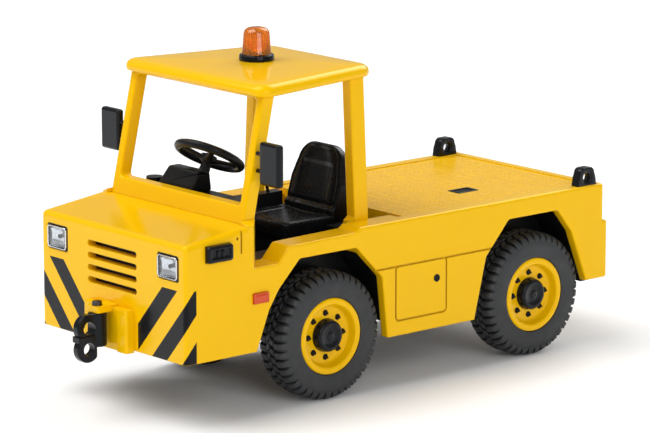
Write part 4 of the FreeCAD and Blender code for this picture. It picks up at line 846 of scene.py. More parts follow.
# ---- seat and controls ----------------------------------------------------
@dataclass
class Seat(Assembly):
    """One-piece moulded bucket seat: a crowned cushion and a tapered back, both with piped edges."""

    lean: float = 16.18
    foot_thickness: float = 3.07
    top_thickness: float = 1.34
    back_sunk: float = 1.7
    edge_round: float = 0.36
    steps: int = 56
    waist_rise: float = 4.3
    shoulder_rise: float = 7.3
    shoulder_draw: float = 0.75
    top_draw: float = 3.2
    piping: float = 0.42
    seam_width: float = 0.16

    def build(self) -> None:
        """Build the cushion and the back."""
        self.cushion()
        self.back()

    @staticmethod
    def ridge(distance: float, width: float) -> float:
        """Height from 0 to 1 of a soft ridge, at a distance from its line."""
        return math.exp(-((distance / width) ** 2))

    def pad(self, name: str, half: Callable[[float], float], height: float, thickness: Callable[[float], float],
            relief: Callable[[float, float], float], place: Matrix) -> Piece:
        """Build a closed pad: a crowned front, a flat back and a side wall, with round edges between them.

        Args:
            name: Name of the piece.
            half: Half width at a height.
            height: Height of the pad.
            thickness: Thickness at a height.
            relief: Rise of the front at a point of the pad.
            place: Where the pad's own frame stands: X across, Y up along it, Z out of its front edge.

        Returns:
            The piece.
        """
        form = bmesh.new()
        count = self.steps
        grades = [math.sin(math.pi / 2 * (2 * k / count - 1)) for k in range(count + 1)]
        sheets = []
        for face in (1, -1):
            rows = []
            for q in grades:
                up = height * (q + 1) / 2
                row = []
                for p in grades:
                    across = half(up) * p
                    edge = min(half(up) - abs(across), up, height - up)
                    share = min(1.0, max(0.0, edge / self.edge_round))
                    drop = self.edge_round * (1 - math.sqrt(1 - (1 - share) ** 2))
                    out = relief(across, up) * share - drop if face > 0 else drop - thickness(up)
                    row.append(form.verts.new(place @ Vector((across, up, out))))
                rows.append(row)
            sheets.append(rows)
        for rows, order in ((sheets[0], 1), (sheets[1], -1)):
            for i in range(count):
                for j in range(count):
                    form.faces.new((rows[i][j], rows[i][j + 1], rows[i + 1][j + 1], rows[i + 1][j])[::order])
        border = [(0, j) for j in range(count)] + [(i, count) for i in range(count)]
        border += [(count, count - j) for j in range(count)] + [(count - i, 0) for i in range(count)]
        for (i, j), (k, m) in zip(border, border[1:] + border[:1]):
            form.faces.new((sheets[0][k][m], sheets[0][i][j], sheets[1][i][j], sheets[1][k][m]))
        return made(name, form, self.palette.hide, 60.0)

    def cushion(self) -> None:
        """Cushion with a crowned panel between low side rolls, and a front roll."""
        low, high = box_mm("seat_cushion")
        size = high - low
        half_width = size.x / 2

        def relief(across: float, up: float) -> float:
            """Raise piping along the edge, a seam round the panel and side rolls that stand above it.

            Args:
                across: Distance from the middle line.
                up: Distance from the front edge.

            Returns:
                Rise of the cushion's top.
            """
            edge = min(half_width - abs(across), up, size.y - up)
            panel = min(3.3 - abs(across), up - 1.9)
            rise = 0.1 * self.ridge(edge - self.piping, self.seam_width) - 0.06 * self.ridge(edge - 0.75, 0.14)
            rise -= 0.16 * self.ridge(panel, self.seam_width)
            rise += 0.12 * self.ridge(abs(across) - half_width + 1.4, 1.0)
            return rise - 0.16 * self.ridge(across, 2.4)

        corner = Vector(((low.x + high.x) / 2, low.y, high.z))
        cushion = self.pad("seat_cushion_moulding", lambda up: half_width - 0.5 * max(0.0, 1 - up / 1.2) ** 2, size.y,
                           lambda up: size.z, relief, Matrix.Translation(corner))
        self.keep(cushion, "seat_black", "seat_cushion")

    def back(self) -> None:
        """Back rest that narrows to a round top, with an inset panel and side rolls."""
        low, high = box_mm("seat_back")
        seat_top = box_mm("seat_cushion")[1].z
        half_width = (high.x - low.x) / 2
        rise_full = (high.z - seat_top) / math.cos(math.radians(self.lean))
        height = rise_full + self.back_sunk

        def half(up: float) -> float:
            """Half width: straight at the foot, drawn in a little, then round to the top.

            Args:
                up: Distance from the pad's foot.

            Returns:
                Half of the width there.
            """
            rise = up - self.back_sunk
            if rise < self.waist_rise:
                return half_width
            if rise < self.shoulder_rise:
                return half_width - self.shoulder_draw * ((rise - self.waist_rise) / 3.0) ** 1.3
            share = (rise - self.shoulder_rise) / (rise_full - self.shoulder_rise)
            return half_width - self.shoulder_draw - self.top_draw * (1 - math.sqrt(max(0.0, 1 - share ** 1.8)))

        def thickness(up: float) -> float:
            """Thickness, from the foot's down to the top's."""
            share = min(1.0, max(0.0, (up - self.back_sunk) / rise_full))
            return self.foot_thickness + (self.top_thickness - self.foot_thickness) * share

        def relief(across: float, up: float) -> float:
            """Raise piping along the edge, a seam round the inset panel, side rolls and a roll at the foot.

            Args:
                across: Distance from the middle line.
                up: Distance from the pad's foot.

            Returns:
                Rise of the back's front.
            """
            rise = up - self.back_sunk
            edge = min(half(up) - abs(across), height - up)
            panel = min(3.1 - abs(across), 6.9 - rise)
            out = 0.12 * self.ridge(edge - self.piping, self.seam_width) - 0.07 * self.ridge(edge - 0.78, 0.14)
            out -= 0.2 * self.ridge(panel, self.seam_width)
            out -= 0.12 * min(1.0, max(0.0, panel / 0.3))
            out += 0.22 * self.ridge(abs(across) - half(up) + 1.7, 1.1)
            return out + 0.3 * self.ridge(rise - 0.6, 0.45) - 0.2 * self.ridge(rise - 1.35, 0.25)

        foot = Vector(((low.x + high.x) / 2, low.y, seat_top))
        place = Matrix.Translation(foot) @ self._stand() @ Matrix.Translation(Vector((0, -self.back_sunk, 0)))
        back = self.pad("seat_back_moulding", half, height, thickness, relief, place)
        self.keep(back, "seat_black", "seat_back")

    def _stand(self) -> Matrix:
        """Turn a pad that lies flat into one that stands, faces the nose and leans back.

        Returns:
            The turn, as a matrix.
        """
        lean = math.radians(self.lean)
        up = Vector((0, math.sin(lean), math.cos(lean)))
        out = Vector((0, -math.cos(lean), math.sin(lean)))
        side = up.cross(out)
        return Matrix((side, up, out)).transposed().to_4x4()


@dataclass
class Controls(Assembly):
    """Steering wheel, instrument dials, switches, lever knobs, pedals and the ribbed floor mat."""

    tilt: float = 30.3
    roll: float = 5.0
    tube: float = 0.62
    tube_sides: int = 14
    spoke_count: int = 4
    box_round: float = 0.42
    dial_shares: tuple[float, ...] = (0.32, 0.62)
    tick_count: int = 10
    tick_step: float = 30.0
    first_tick: float = -135.0
    needle_turn: float = -60.0
    switch_count: int = 5
    switch_pitch: float = 1.35
    pedal_tilt: float = -40.0
    pedal_length: float = 1.25
    pedal_ribs: int = 5
    pedal_rib_pitch: float = 0.45
    mat_ribs: int = 17
    mat_rib_pitch: float = 0.825
    mat_start: float = -6.6
    mat_margin: float = 2.2

    def build(self) -> None:
        """Build every control."""
        self.steering_wheel()
        self.binnacle()
        self.dials()
        self.switches()
        self.knobs()
        self.pedals()
        self.mat()

    def steering_wheel(self) -> None:
        """Round rim, four spokes that thicken to the hub, and a stepped boss."""
        low, high = box_mm("steering_wheel")
        radius = (high.x - low.x) / 2 - self.tube
        tilt, roll = math.radians(self.tilt), math.radians(self.roll)
        normal = Vector((-math.sin(roll), math.cos(roll) * math.sin(tilt), math.cos(roll) * math.cos(tilt)))
        place = Matrix.Translation((low + high) / 2 * MM) @ normal.to_track_quat("Z", "Y").to_matrix().to_4x4()
        turns = [2 * math.pi * k / self.tube_sides for k in range(self.tube_sides)]
        tube = [(self.tube * math.sin(turn), radius + self.tube * math.cos(turn)) for turn in turns]
        pieces = [lathe("rim", self.palette.moulding, 60.0, tube, Vector(), UP, 84)]
        form = bmesh.new()
        sections = ((0.5, 0.85, 0.42, -0.62), (1.1, 0.62, 0.36, -0.5), (2.2, 0.42, 0.3, -0.3),
                    (3.6, 0.4, 0.28, -0.08), (radius, 0.52, 0.34, 0.0))
        rings = []
        for out, wide, thick, drop in sections:
            rings.append([Vector((out, wide * math.cos(math.pi * k / 6), drop + thick * math.sin(math.pi * k / 6)))
                          for k in range(12)])
        loft(form, rings)
        bmesh.ops.rotate(form, cent=Vector(), matrix=Matrix.Rotation(math.radians(45), 3, "Z"), verts=form.verts)
        spoke = made("spoke", form, self.palette.moulding, 60.0)
        pieces.append(self.repeater.run(spoke, Repeat.AROUND, Count=self.spoke_count, Centre=(0.0, 0.0, 0.0),
                                        Step=(0.0, 0.0, 2 * math.pi / self.spoke_count)))
        boss = [(-1.1, 0.0), (-1.1, 0.8), (-0.95, 0.98), (-0.5, 1.12), (-0.1, 1.2), (0.02, 1.12), (0.06, 0.9),
                (0.02, 0.82), (0.1, 0.74), (0.26, 0.5), (0.3, 0.0)]
        pieces.append(lathe("boss", self.palette.moulding, 40.0, boss, Vector(), UP, 40))
        wheel = joined("steering_wheel_moulding", pieces)
        wheel.data.transform(place)
        self.keep(wheel, "black_plastic", "steering_wheel")

    def binnacle(self) -> None:
        """Instrument box with rounded edges, from a merged copy of the CAD solid."""
        form = bmesh.new()
        form.from_mesh(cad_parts["instrument_box"].data)
        bmesh.ops.scale(form, vec=(1 / MM,) * 3, verts=form.verts)
        bmesh.ops.remove_doubles(form, verts=form.verts, dist=1e-4)
        bmesh.ops.dissolve_limit(form, angle_limit=math.radians(2), verts=form.verts, edges=form.edges)
        bmesh.ops.bevel(form, geom=list(form.edges), offset=self.box_round, segments=4, profile=0.5, affect="EDGES")
        box = made("instrument_box_moulding", form, self.palette.moulding, 30.0)
        self.keep(box, "black_plastic", "instrument_box")

    def dials(self) -> None:
        """Two round dials that face the driver: a bezel, a black face, white ticks and a needle."""
        low, high = box_mm("instrument_box")
        ticks_all = []
        needles = []
        form = bmesh.new()
        for share in self.dial_shares:
            middle = Vector((low.x + (high.x - low.x) * share, high.y - 0.55, low.z + 1.7))
            bezel = [(-0.2, 0.0), (-0.2, 1.05), (0.1, 1.05), (0.16, 0.98), (0.14, 0.9), (0.02, 0.86), (0.02, 0.0)]
            turned(form, bezel, middle, Vector((0, 1, 0)), 36)
            tick = bmesh.new()
            bmesh.ops.create_cube(tick, size=1.0, matrix=Matrix.Translation(middle + Vector((0, 0.05, 0.68)))
                                  @ Matrix.Diagonal((0.07, 0.05, 0.2, 1)))
            bmesh.ops.rotate(tick, cent=middle, matrix=Matrix.Rotation(math.radians(self.first_tick), 3, "Y"),
                             verts=tick.verts)
            piece = made("ticks", tick, self.palette.print_white)
            ticks_all.append(self.repeater.run(piece, Repeat.AROUND, Count=self.tick_count, Centre=middle * MM,
                                               Step=(0.0, math.radians(self.tick_step), 0.0)))
            needle = bmesh.new()
            loft(needle, [[middle + Vector(corner) for corner in ((-wide, 0.06, z), (wide, 0.06, z), (wide, top, z),
                                                                  (-wide, top, z))]
                          for z, wide, top in ((-0.1, 0.07, 0.12), (0.62, 0.02, 0.1))])
            bmesh.ops.rotate(needle, cent=middle, matrix=Matrix.Rotation(math.radians(self.needle_turn), 3, "Y"),
                             verts=needle.verts)
            needles.append(made("needle", needle, self.palette.orange))
        self.keep(made("dial_bezels", form, self.palette.polished, 30.0), "black_gloss")
        self.keep(joined("dial_ticks", ticks_all), "clear_lens")
        self.keep(joined("dial_needles", needles), "orange_lens")

    def switches(self) -> None:
        """Row of rocker switches on the dash, beside the instrument box."""
        low, high = box_mm("dashboard")
        first = Vector((box_mm("instrument_box")[1].x + 1.4, high.y, low.z + 2.6))
        form = bmesh.new()
        outline = round_rectangle(0.42, 0.62, 0.14, 3)
        rings = []
        for out, shrink in ((-0.2, 1.0), (0.16, 1.0), (0.24, 0.86), (0.12, 0.6), (0.12, 0.3)):
            rings.append([first + Vector((x * shrink, out + (0.12 * z if out > 0.1 else 0.0), z * shrink))
                          for x, z in outline])
        loft(form, rings)
        row = made("rocker_switches", form, self.palette.knob_grey, 30.0)
        self.repeater.run(row, Repeat.ROW, Count=self.switch_count, Centre=first * MM,
                          Step=(self.switch_pitch * MM, 0.0, 0.0))
        self.keep(row, "dark_grey")

    def knobs(self) -> None:
        """Pear-shaped knobs on the two levers of the console."""
        low, high = box_mm("lever_console")
        middle = (low.x + high.x) / 2
        outline = [(-0.5, 0.0), (-0.5, 0.24), (-0.38, 0.28), (-0.1, 0.44), (0.15, 0.5), (0.36, 0.42), (0.5, 0.24),
                   (0.54, 0.0)]
        for name, dx, dy, finish, slot in (("lever_knob_near", 0.5, 5.3, self.palette.enamel, "yellow_paint"),
                                           ("lever_knob_far", -0.5, 3.7, self.palette.knob_grey, "dark_grey")):
            foot = Vector((middle + dx, low.y + dy, high.z - 0.15))
            self.keep(lathe(name, finish, 45.0, outline, foot, Vector((0, -0.24, 0.97)), 24), slot)

    def pedals(self) -> None:
        """Two ribbed pedals on short arms, against the front wall of the footwell."""
        low = box_mm("cab_tub")[0]
        driver = sum(corner.x for corner in box_mm("steering_wheel")) / 2
        pieces = []
        for dx, wide in ((1.9, 0.6), (-0.6, 0.85)):
            middle = Vector((driver + dx, low.y + 2.5, low.z + 3.0))
            tilt = Matrix.Translation(middle) @ Matrix.Rotation(math.radians(self.pedal_tilt), 4, "X")
            form = bmesh.new()
            rings = []
            for up, shrink in ((-0.16, 0.9), (-0.06, 1.0), (0.1, 1.0), (0.16, 0.92)):
                rings.append([tilt @ Vector((x * shrink, y * shrink, up))
                              for x, y in round_rectangle(wide, self.pedal_length, 0.25, 3)])
            loft(form, rings)
            arm = ((-0.2, -0.2), (0.2, -0.2), (0.2, 0.2), (-0.2, 0.2))
            loft(form, [[middle + Vector((x, y, z)) for x, y in arm] for z in (-2.2, 0.0)])
            pieces.append(made("pedal", form, self.palette.moulding, 30.0))
            rib = bmesh.new()
            bmesh.ops.create_cube(rib, size=1.0, matrix=tilt @ Matrix.Translation((0, -0.9, 0.2))
                                  @ Matrix.Diagonal((wide * 1.6, 0.16, 0.14, 1)))
            ribs = made("rib", rib, self.palette.moulding, 30.0)
            step = tilt.to_3x3() @ Vector((0, self.pedal_rib_pitch, 0))
            pieces.append(self.repeater.run(ribs, Repeat.ROW, Count=self.pedal_ribs, Centre=middle * MM,
                                            Step=step * MM))
        self.keep(joined("pedals", pieces), "black_plastic")

    def mat(self) -> None:
        """Moulded ribs along the floor of the footwell."""
        front = box_mm("cab_tub")[0].y
        seat = box_mm("seat_base")[0]
        start = Vector((self.mat_start, (front + seat.y) / 2 + 0.4, seat.z))
        half_length = (seat.y - front) / 2 - self.mat_margin
        section = ((-0.22, -0.05), (-0.14, 0.12), (0.14, 0.12), (0.22, -0.05))
        form = bmesh.new()
        loft(form, [[start + Vector((x, y, z)) for x, z in section] for y in (-half_length, half_length)])
        rib = made("floor_mat_ribs", form, self.palette.moulding, 30.0)
        self.repeater.run(rib, Repeat.ROW, Count=self.mat_ribs, Centre=start * MM,
                          Step=(self.mat_rib_pitch * MM, 0.0, 0.0))
        self.keep(rib, "black_plastic")


# ---- lamps ----------------------------------------------------------------
@dataclass
class Lamps(Assembly):
    """Headlights, beacon, side lamps and locks."""

    facets: int = 7
    flutes: int = 14
    flute_depth: float = 0.09
    bar_count: int = 2
    bar_pitch: float = 0.9

    def build(self) -> None:
        """Build the lamps of both sides and the beacon."""
        for side in SIDES:
            self.headlight(side)
            self.side_lamp(side)
            self.marker(side)
            self.lock(side)
        self.beacon()

    def headlight(self, side: str) -> None:
        """Build one headlight: a frame, a bulb and a crowned clear cover, over the plated bowl.

        Args:
            side: The vehicle's side, "left" or "right".
        """
        low, high = box_mm(f"headlight_lens_{side}")
        middle = (low + high) / 2
        half = ((high.x - low.x) / 2, (high.z - low.z) / 2)
        depth = high.y - low.y - 0.3
        front = low.y + 0.36
        self.bowl(side, middle, half, (front, depth, high.y - 0.03))

        def place(x: float, z: float, out: float) -> tuple[float, float, float]:
            """Stand a point of an outline on the lamp's front."""
            return (middle.x + x, low.y + out, middle.z + z)

        levels = ((-0.04, 0.3), (-0.04, -0.04), (-0.07, -0.09), (-0.16, -0.1), (-0.22, -0.05), (-0.22, 0.3))
        ring = Terraced(half, levels, place, corner=0.3, open_ring=True)
        self.keep(ring.build(f"lamp_frame_{side}", self.palette.plating, 40.0), "pin_steel")
        bulb = lathe(f"lamp_bulb_{side}", self.palette.blacked, 40.0,
                     [(0.1, 0.0), (0.1, 0.3), (0.5, 0.3), (0.66, 0.2), (0.72, 0.0)],
                     Vector((middle.x + 0.35, front + depth * 0.8, middle.z + 0.2)), Vector((0, -1, 0)), 20)
        self.keep(bulb, "dark_grey")
        levels = ((0.02, 0.34), (0.0, 0.3), (0.0, 0.08), (0.1, 0.0), (0.28, -0.03), (0.42, 0.01), (0.9, -0.01),
                  (1.3, -0.02))
        cover = Terraced(half, levels, place, corner=0.4, least_corner=0.08)
        self.keep(cover.build(f"lamp_cover_{side}", self.palette.clear, 35.0), "clear_lens",
               f"headlight_lens_{side}")

    def bowl(self, side: str, middle: Vector, half: tuple[float, float], depths: tuple[float, float, float]) -> None:
        """Build a headlight's plated bowl, with flat facets.

        Args:
            side: The vehicle's side.
            middle: Middle of the lens.
            half: Half of its width and height.
            depths: Place of the bowl's front, its depth, and place of its back.
        """
        front, depth, rear_y = depths
        half_x, half_z = half
        bowl = bmesh.new()
        rows = []
        for i in range(self.facets + 1):
            row = []
            for j in range(self.facets + 1):
                u = 2 * j / self.facets - 1
                v = 2 * i / self.facets - 1
                sink = depth * 0.8 * (1 - 0.5 * (u * u + v * v))
                row.append(bowl.verts.new((middle.x + u * (half_x - 0.12), front + sink,
                                           middle.z + v * (half_z - 0.12))))
            rows.append(row)
        for i in range(self.facets):
            for j in range(self.facets):
                bowl.faces.new((rows[i][j], rows[i][j + 1], rows[i + 1][j + 1], rows[i + 1][j]))
        border = [rows[0][j] for j in range(self.facets)] + [rows[i][-1] for i in range(self.facets)]
        border += [rows[-1][j] for j in range(self.facets, 0, -1)] + [rows[i][0] for i in range(self.facets, 0, -1)]
        rear = [bowl.verts.new((v.co.x, rear_y, v.co.z)) for v in border]
        for i in range(len(border)):
            j = (i + 1) % len(border)
            bowl.faces.new((border[i], border[j], rear[j], rear[i]))
        bowl.faces.new(rear)
        self.keep(made(f"lamp_bowl_{side}", bowl, self.palette.plating, 4.0), "pin_steel")

    def on_wall(self, node: str, side: str) -> tuple[tuple[float, float], Callable[..., tuple[float, float, float]]]:
        """Find where a lamp on the side wall stands.

        Args:
            node: Name of its CAD node.
            side: The vehicle's side.

        Returns:
            Half of its length and height, and a function that stands a point of an outline on its face.
        """
        sign = SIDES[side]
        low, high = box_mm(node)
        middle = (low + high) / 2
        wall = high.x if sign > 0 else low.x
        return (((high.y - low.y) / 2, (high.z - low.z) / 2),
                lambda y, z, out: (wall + sign * out, middle.y + y, middle.z + z))

    def side_lamp(self, side: str) -> None:
        """Build one rounded black lamp body with a window in its middle and two small bars in it.

        Args:
            side: The vehicle's side.
        """
        half, place = self.on_wall(f"side_lamp_{side}", side)
        levels = ((0.05, -0.85), (0.0, -0.5), (0.0, 0.1), (0.07, 0.28), (0.2, 0.38), (0.42, 0.42), (0.56, 0.38),
                  (0.62, 0.2), (0.7, 0.16), (1.0, 0.16))
        body = Terraced(half, levels, place, corner=0.42, corner_fall=0.6, least_corner=0.06)
        self.keep(body.build(f"side_lamp_moulding_{side}", self.palette.polished, 30.0), "black_plastic",
               f"side_lamp_{side}")
        bar = bmesh.new()
        start = Vector(place(-self.bar_pitch / 2, 0.0, 0.24))
        bmesh.ops.create_cube(bar, size=1.0, matrix=Matrix.Translation(start) @ Matrix.Diagonal((0.3, 0.55, 1.0, 1)))
        bmesh.ops.bevel(bar, geom=list(bar.edges), offset=0.12, segments=3, affect="EDGES")
        bars = made(f"side_lamp_bars_{side}", bar, self.palette.polished, 30.0)
        self.repeater.run(bars, Repeat.ROW, Count=self.bar_count, Centre=start * MM,
                          Step=(0.0, self.bar_pitch * MM, 0.0))
        self.keep(bars, "black_plastic")

    def marker(self, side: str) -> None:
        """Build one orange marker: a block with rounded edges and a shallow step round its face.

        Args:
            side: The vehicle's side.
        """
        half, place = self.on_wall(f"side_marker_{side}", side)
        levels = ((0.04, -0.7), (0.0, -0.2), (0.0, 0.02), (0.05, 0.1), (0.14, 0.12), (0.2, 0.06), (0.26, 0.06),
                  (0.32, 0.14), (0.42, 0.17), (0.5, 0.17))
        block = Terraced(half, levels, place, corner=0.16, corner_fall=0.0, corner_steps=4)
        self.keep(block.build(f"side_marker_moulding_{side}", self.palette.orange, 35.0), "orange_lens",
               f"side_marker_{side}")

    def lock(self, side: str) -> None:
        """Build one round lock barrel with a raised ring and a sunk centre.

        Args:
            side: The vehicle's side.
        """
        place = self.on_wall(f"locker_lock_{side}", side)[1]
        outline = [(-0.6, 0.0), (-0.6, 0.55), (-0.06, 0.55), (0.02, 0.49), (0.04, 0.4), (-0.02, 0.33), (-0.1, 0.3),
                   (-0.1, 0.14), (-0.02, 0.1), (0.0, 0.0)]
        barrel = lathe(f"lock_barrel_{side}", self.palette.polished, 30.0, outline, Vector(place(0.0, 0.0, 0.0)),
                       Vector((SIDES[side], 0, 0)), 32)
        self.keep(barrel, "black_plastic", f"locker_lock_{side}")

    def beacon(self) -> None:
        """Amber dome, fluted inside, over a plated reflector, on a stepped base ring."""
        low, high = box_mm("beacon_lens")
        centre = Vector(((low.x + high.x) / 2, (low.y + high.y) / 2, low.z))
        tall = high.z - low.z
        wide = (high.x - low.x) / 2
        top = [(tall - 0.95, wide - 0.2), (tall - 0.6, wide - 0.3), (tall - 0.3, wide - 0.52),
               (tall - 0.1, wide - 0.85), (tall - 0.02, wide - 1.25), (tall, 0.0)]
        inner = [(tall - 0.3, 0.0), (tall - 0.36, wide - 1.25), (tall - 0.6, wide - 0.85), (tall - 1.0, wide - 0.62),
                 (0.0, wide - 0.4)]
        outline = [(0.0, wide), (0.14, wide + 0.02), (0.2, wide - 0.02)] + top + inner
        fluted = range(len(outline) - 4, len(outline))
        dome = lathe("beacon_dome", self.palette.amber, 40.0, outline, centre, UP, 120,
                     lambda i, turn: -self.flute_depth * abs(math.sin(turn * self.flutes)) if i in fluted else 0.0)
        self.keep(dome, "amber_lens", "beacon_lens")
        outline = [(0.02, 0.0), (0.02, 1.1), (0.3, 1.0), (0.55, 0.5), (2.3, 0.42), (2.6, 0.3), (2.7, 0.0)]
        self.keep(lathe("beacon_reflector", self.palette.plating, 40.0, outline, centre, UP, 32), "pin_steel")
        low, high = box_mm("beacon_base")
        wide = (high.x - low.x) / 2
        tall = high.z - low.z
        outline = [(0.0, 0.0), (0.0, wide), (tall * 0.62, wide - 0.02), (tall * 0.8, wide - 0.08),
                   (tall * 0.86, wide - 0.2), (tall * 0.86, wide - 0.32), (tall, wide - 0.36), (tall, 0.0)]
        base = lathe("beacon_base_ring", self.palette.polished, 30.0, outline, Vector((centre.x, centre.y, low.z)),
                     UP, 64)
        self.keep(base, "black_plastic", "beacon_base")


# ---- roof, deck and base --------------------------------------------------
@dataclass
class Roof(Assembly):
    """Roof shell with full round edges and a slightly crowned top."""

    front_corner: float = 2.2
    rear_corner: float = 3.2
    spread: float = 0.5
    crown: float = 0.35
    corner_steps: int = 8
    crown_shares: tuple[float, ...] = (0.85, 0.7, 0.55, 0.4, 0.25, 0.1)
    post_inset: float = 0.8
    overhang: float = 0.2

    def build(self) -> None:
        """Build the shell from plan outlines that shrink over the round edge, then over the crown."""
        low, high = box_mm("roof")
        rear_half = box_mm("rear_post_left")[1].x - self.post_inset + self.spread
        wider = Vector((self.spread, self.overhang, 0))
        low, high = low - wider, high + wider
        form = bmesh.new()
        edge = ((0.55, 0.0), (0.22, 0.05), (0.06, 0.2), (0.0, 0.45), (0.0, 0.75), (0.1, 1.05), (0.28, 1.3),
                (0.55, 1.5), (0.9, 1.64), (1.4, 1.74))
        rings = [self._plan(low, high, rear_half, inset, z) for inset, z in edge]
        middle = (low + high) / 2
        last = rings[-1]
        for k in self.crown_shares:
            rise = edge[-1][1] + self.crown * (1 - k * k)
            rings.append([Vector((middle.x + (p.x - middle.x) * k, middle.y + (p.y - middle.y) * k, low.z + rise))
                          for p in last])
        loft(form, rings)
        self.keep(made("roof_shell", form, self.palette.enamel, 50.0), "yellow_paint", "roof")

    def _plan(self, low: Vector, high: Vector, rear_half: float, inset: float, z: float) -> list[Vector]:
        """One plan outline of the roof: a trapezium with round corners.

        Args:
            low: Lowest corner of the CAD roof.
            high: Highest corner of the CAD roof.
            rear_half: Half width of the rear edge.
            inset: How far the outline is drawn in.
            z: Height above the underside.

        Returns:
            The outline's points.
        """
        points = []
        corners = ((high.x, low.y, self.front_corner, -90.0), (rear_half, high.y, self.rear_corner, 0.0),
                   (-rear_half, high.y, self.rear_corner, 90.0), (-high.x, low.y, self.front_corner, 180.0))
        for x, y, radius, start in corners:
            sign_x = 1 if x > 0 else -1
            sign_y = 1 if y == high.y else -1
            centre = Vector((x - sign_x * radius, y - sign_y * radius))
            for k in range(self.corner_steps + 1):
                turn = math.radians(start + 90.0 * k / self.corner_steps)
                reach = radius - inset
                points.append(Vector((centre.x + reach * math.cos(turn), centre.y + reach * math.sin(turn),
                                      low.z + z)))
        return points


@dataclass
class Deck(Assembly):
    """Raised tread pattern of the deck plate."""

    pitch: float = 0.98
    bar_length: float = 0.66
    bar_width: float = 0.2
    bar_height: float = 0.04
    margin: float = 1.0
    latch_gap: float = 0.6
    bar_sides: int = 10

    def build(self) -> None:
        """Lay low bars over the plate, each a quarter turn from its neighbours, clear of the latch."""
        low, high = box_mm("deck_plate")
        latch_low, latch_high = box_mm("deck_latch")
        centre = Vector(((low.x + high.x) / 2, (low.y + high.y) / 2, high.z))
        form = bmesh.new()
        rings = []
        for up, shrink in ((-0.03, 1.0), (0.03, 0.9), (self.bar_height, 0.55)):
            ring = []
            for k in range(self.bar_sides):
                turn = 2 * math.pi * k / self.bar_sides
                along = self.bar_length / 2 * math.cos(turn) * (1 - 0.12 * (1 - shrink))
                across = self.bar_width / 2 * math.sin(turn) * shrink
                ring.append(centre + Vector(((along - across) * DIAGONAL, (along + across) * DIAGONAL, up)))
            rings.append(ring)
        loft(form, rings)
        bars = made("tread_bars", form, self.palette.deck, 30.0)
        columns = int((high.x - low.x - 2 * self.margin) / self.pitch) // 2 * 2 + 1
        rows = int((high.y - low.y - 2 * self.margin) / self.pitch) + 1
        clear = Vector((self.latch_gap, self.latch_gap, 0))
        self.repeater.run(bars, Repeat.SHEET, Count=columns, Rows=rows, Centre=centre * MM, Turn=math.pi / 2,
                          Step=(self.pitch * MM, self.pitch * MM, 0.0), Gap_Low=(latch_low - clear) * MM,
                          Gap_High=(latch_high + clear) * MM)
        self.keep(bars, "deck_paint")
        self.latch(latch_low, latch_high)

    def latch(self, low: Vector, high: Vector) -> None:
        """Build the flush black latch with its finger recess.

        Args:
            low: Lowest corner of the CAD latch.
            high: Highest corner of the CAD latch.
        """
        middle = (low + high) / 2
        levels = ((0.0, -0.4), (0.0, 0.05), (0.08, 0.1), (0.3, 0.1), (0.42, -0.12), (0.8, -0.14))
        block = Terraced(((high.x - low.x) / 2, (high.y - low.y) / 2), levels,
                         lambda x, y, out: (middle.x + x, middle.y + y, high.z + out),
                         corner=0.2, corner_fall=0.0, corner_steps=4)
        self.keep(block.build("deck_latch_moulding", self.palette.moulding, 30.0), "black_plastic",
               "deck_latch")


@dataclass
class Lugs(Assembly):
    """Cast lifting lugs on the rear deck rim, each with an eye that is rounded on both its faces."""

    eye_height: float = 1.2
    eye_radius: float = 0.6
    eye_round: float = 0.5
    edge_round: float = 0.14
    foot_half: float = 1.94
    top_half: float = 1.5
    corner: float = 0.9

    def build(self) -> None:
        """Build both lugs."""
        for side in SIDES:
            self.lug(side)

    def outline(self, tall: float) -> Outline:
        """Side view of a lug, from the eye: a trapezium with round upper corners.

        Args:
            tall: Height of the lug.

        Returns:
            Points along and above the foot's middle.
        """
        shoulder = (self.top_half - self.corner, tall - self.corner)
        half = [(self.foot_half * k / 4, 0.0) for k in range(5)] + [(self.top_half + 0.22, tall / 2)]
        for k in range(8):
            turn = math.radians(90 * k / 7)
            half.append((shoulder[0] + self.corner * math.cos(turn), shoulder[1] + self.corner * math.sin(turn)))
        return half + [(-y, z) for y, z in reversed(half[1:])]

    def lug(self, side: str) -> None:
        """Build one lug as a ring of sections round its eye.

        Args:
            side: The vehicle's side.
        """
        low, high = box_mm(f"lifting_lug_{side}")
        middle = (low + high) / 2
        half = (high.x - low.x) / 2
        eye = Vector((middle.x, middle.y, low.z + self.eye_height))
        spokes = [Vector((0.0, y, z - self.eye_height)) for y, z in self.outline(high.z - low.z)]
        steps = [math.radians(30 * k) for k in range(4)]
        rings = []
        for sign, turns in ((1, steps), (-1, steps[::-1])):
            for turn in turns:
                inset = self.edge_round * (1 - math.sin(turn))
                x = Vector((sign * (half - self.edge_round * (1 - math.cos(turn))), 0.0, 0.0))
                rings.append([eye + x + spoke * (1 - inset / spoke.length) for spoke in spokes])
        for sign, turns in ((-1, steps), (1, steps[::-1])):
            for turn in turns:
                radius = self.eye_radius + self.eye_round * (1 - math.sin(turn))
                x = Vector((sign * (half - self.eye_round * (1 - math.cos(turn))), 0.0, 0.0))
                rings.append([eye + x + spoke.normalized() * radius for spoke in spokes])
        form = bmesh.new()
        loft(form, rings, True)
        piece = made(f"lifting_lug_casting_{side}", form, self.palette.polished, 50.0)
        self.keep(piece, "black_plastic", f"lifting_lug_{side}")


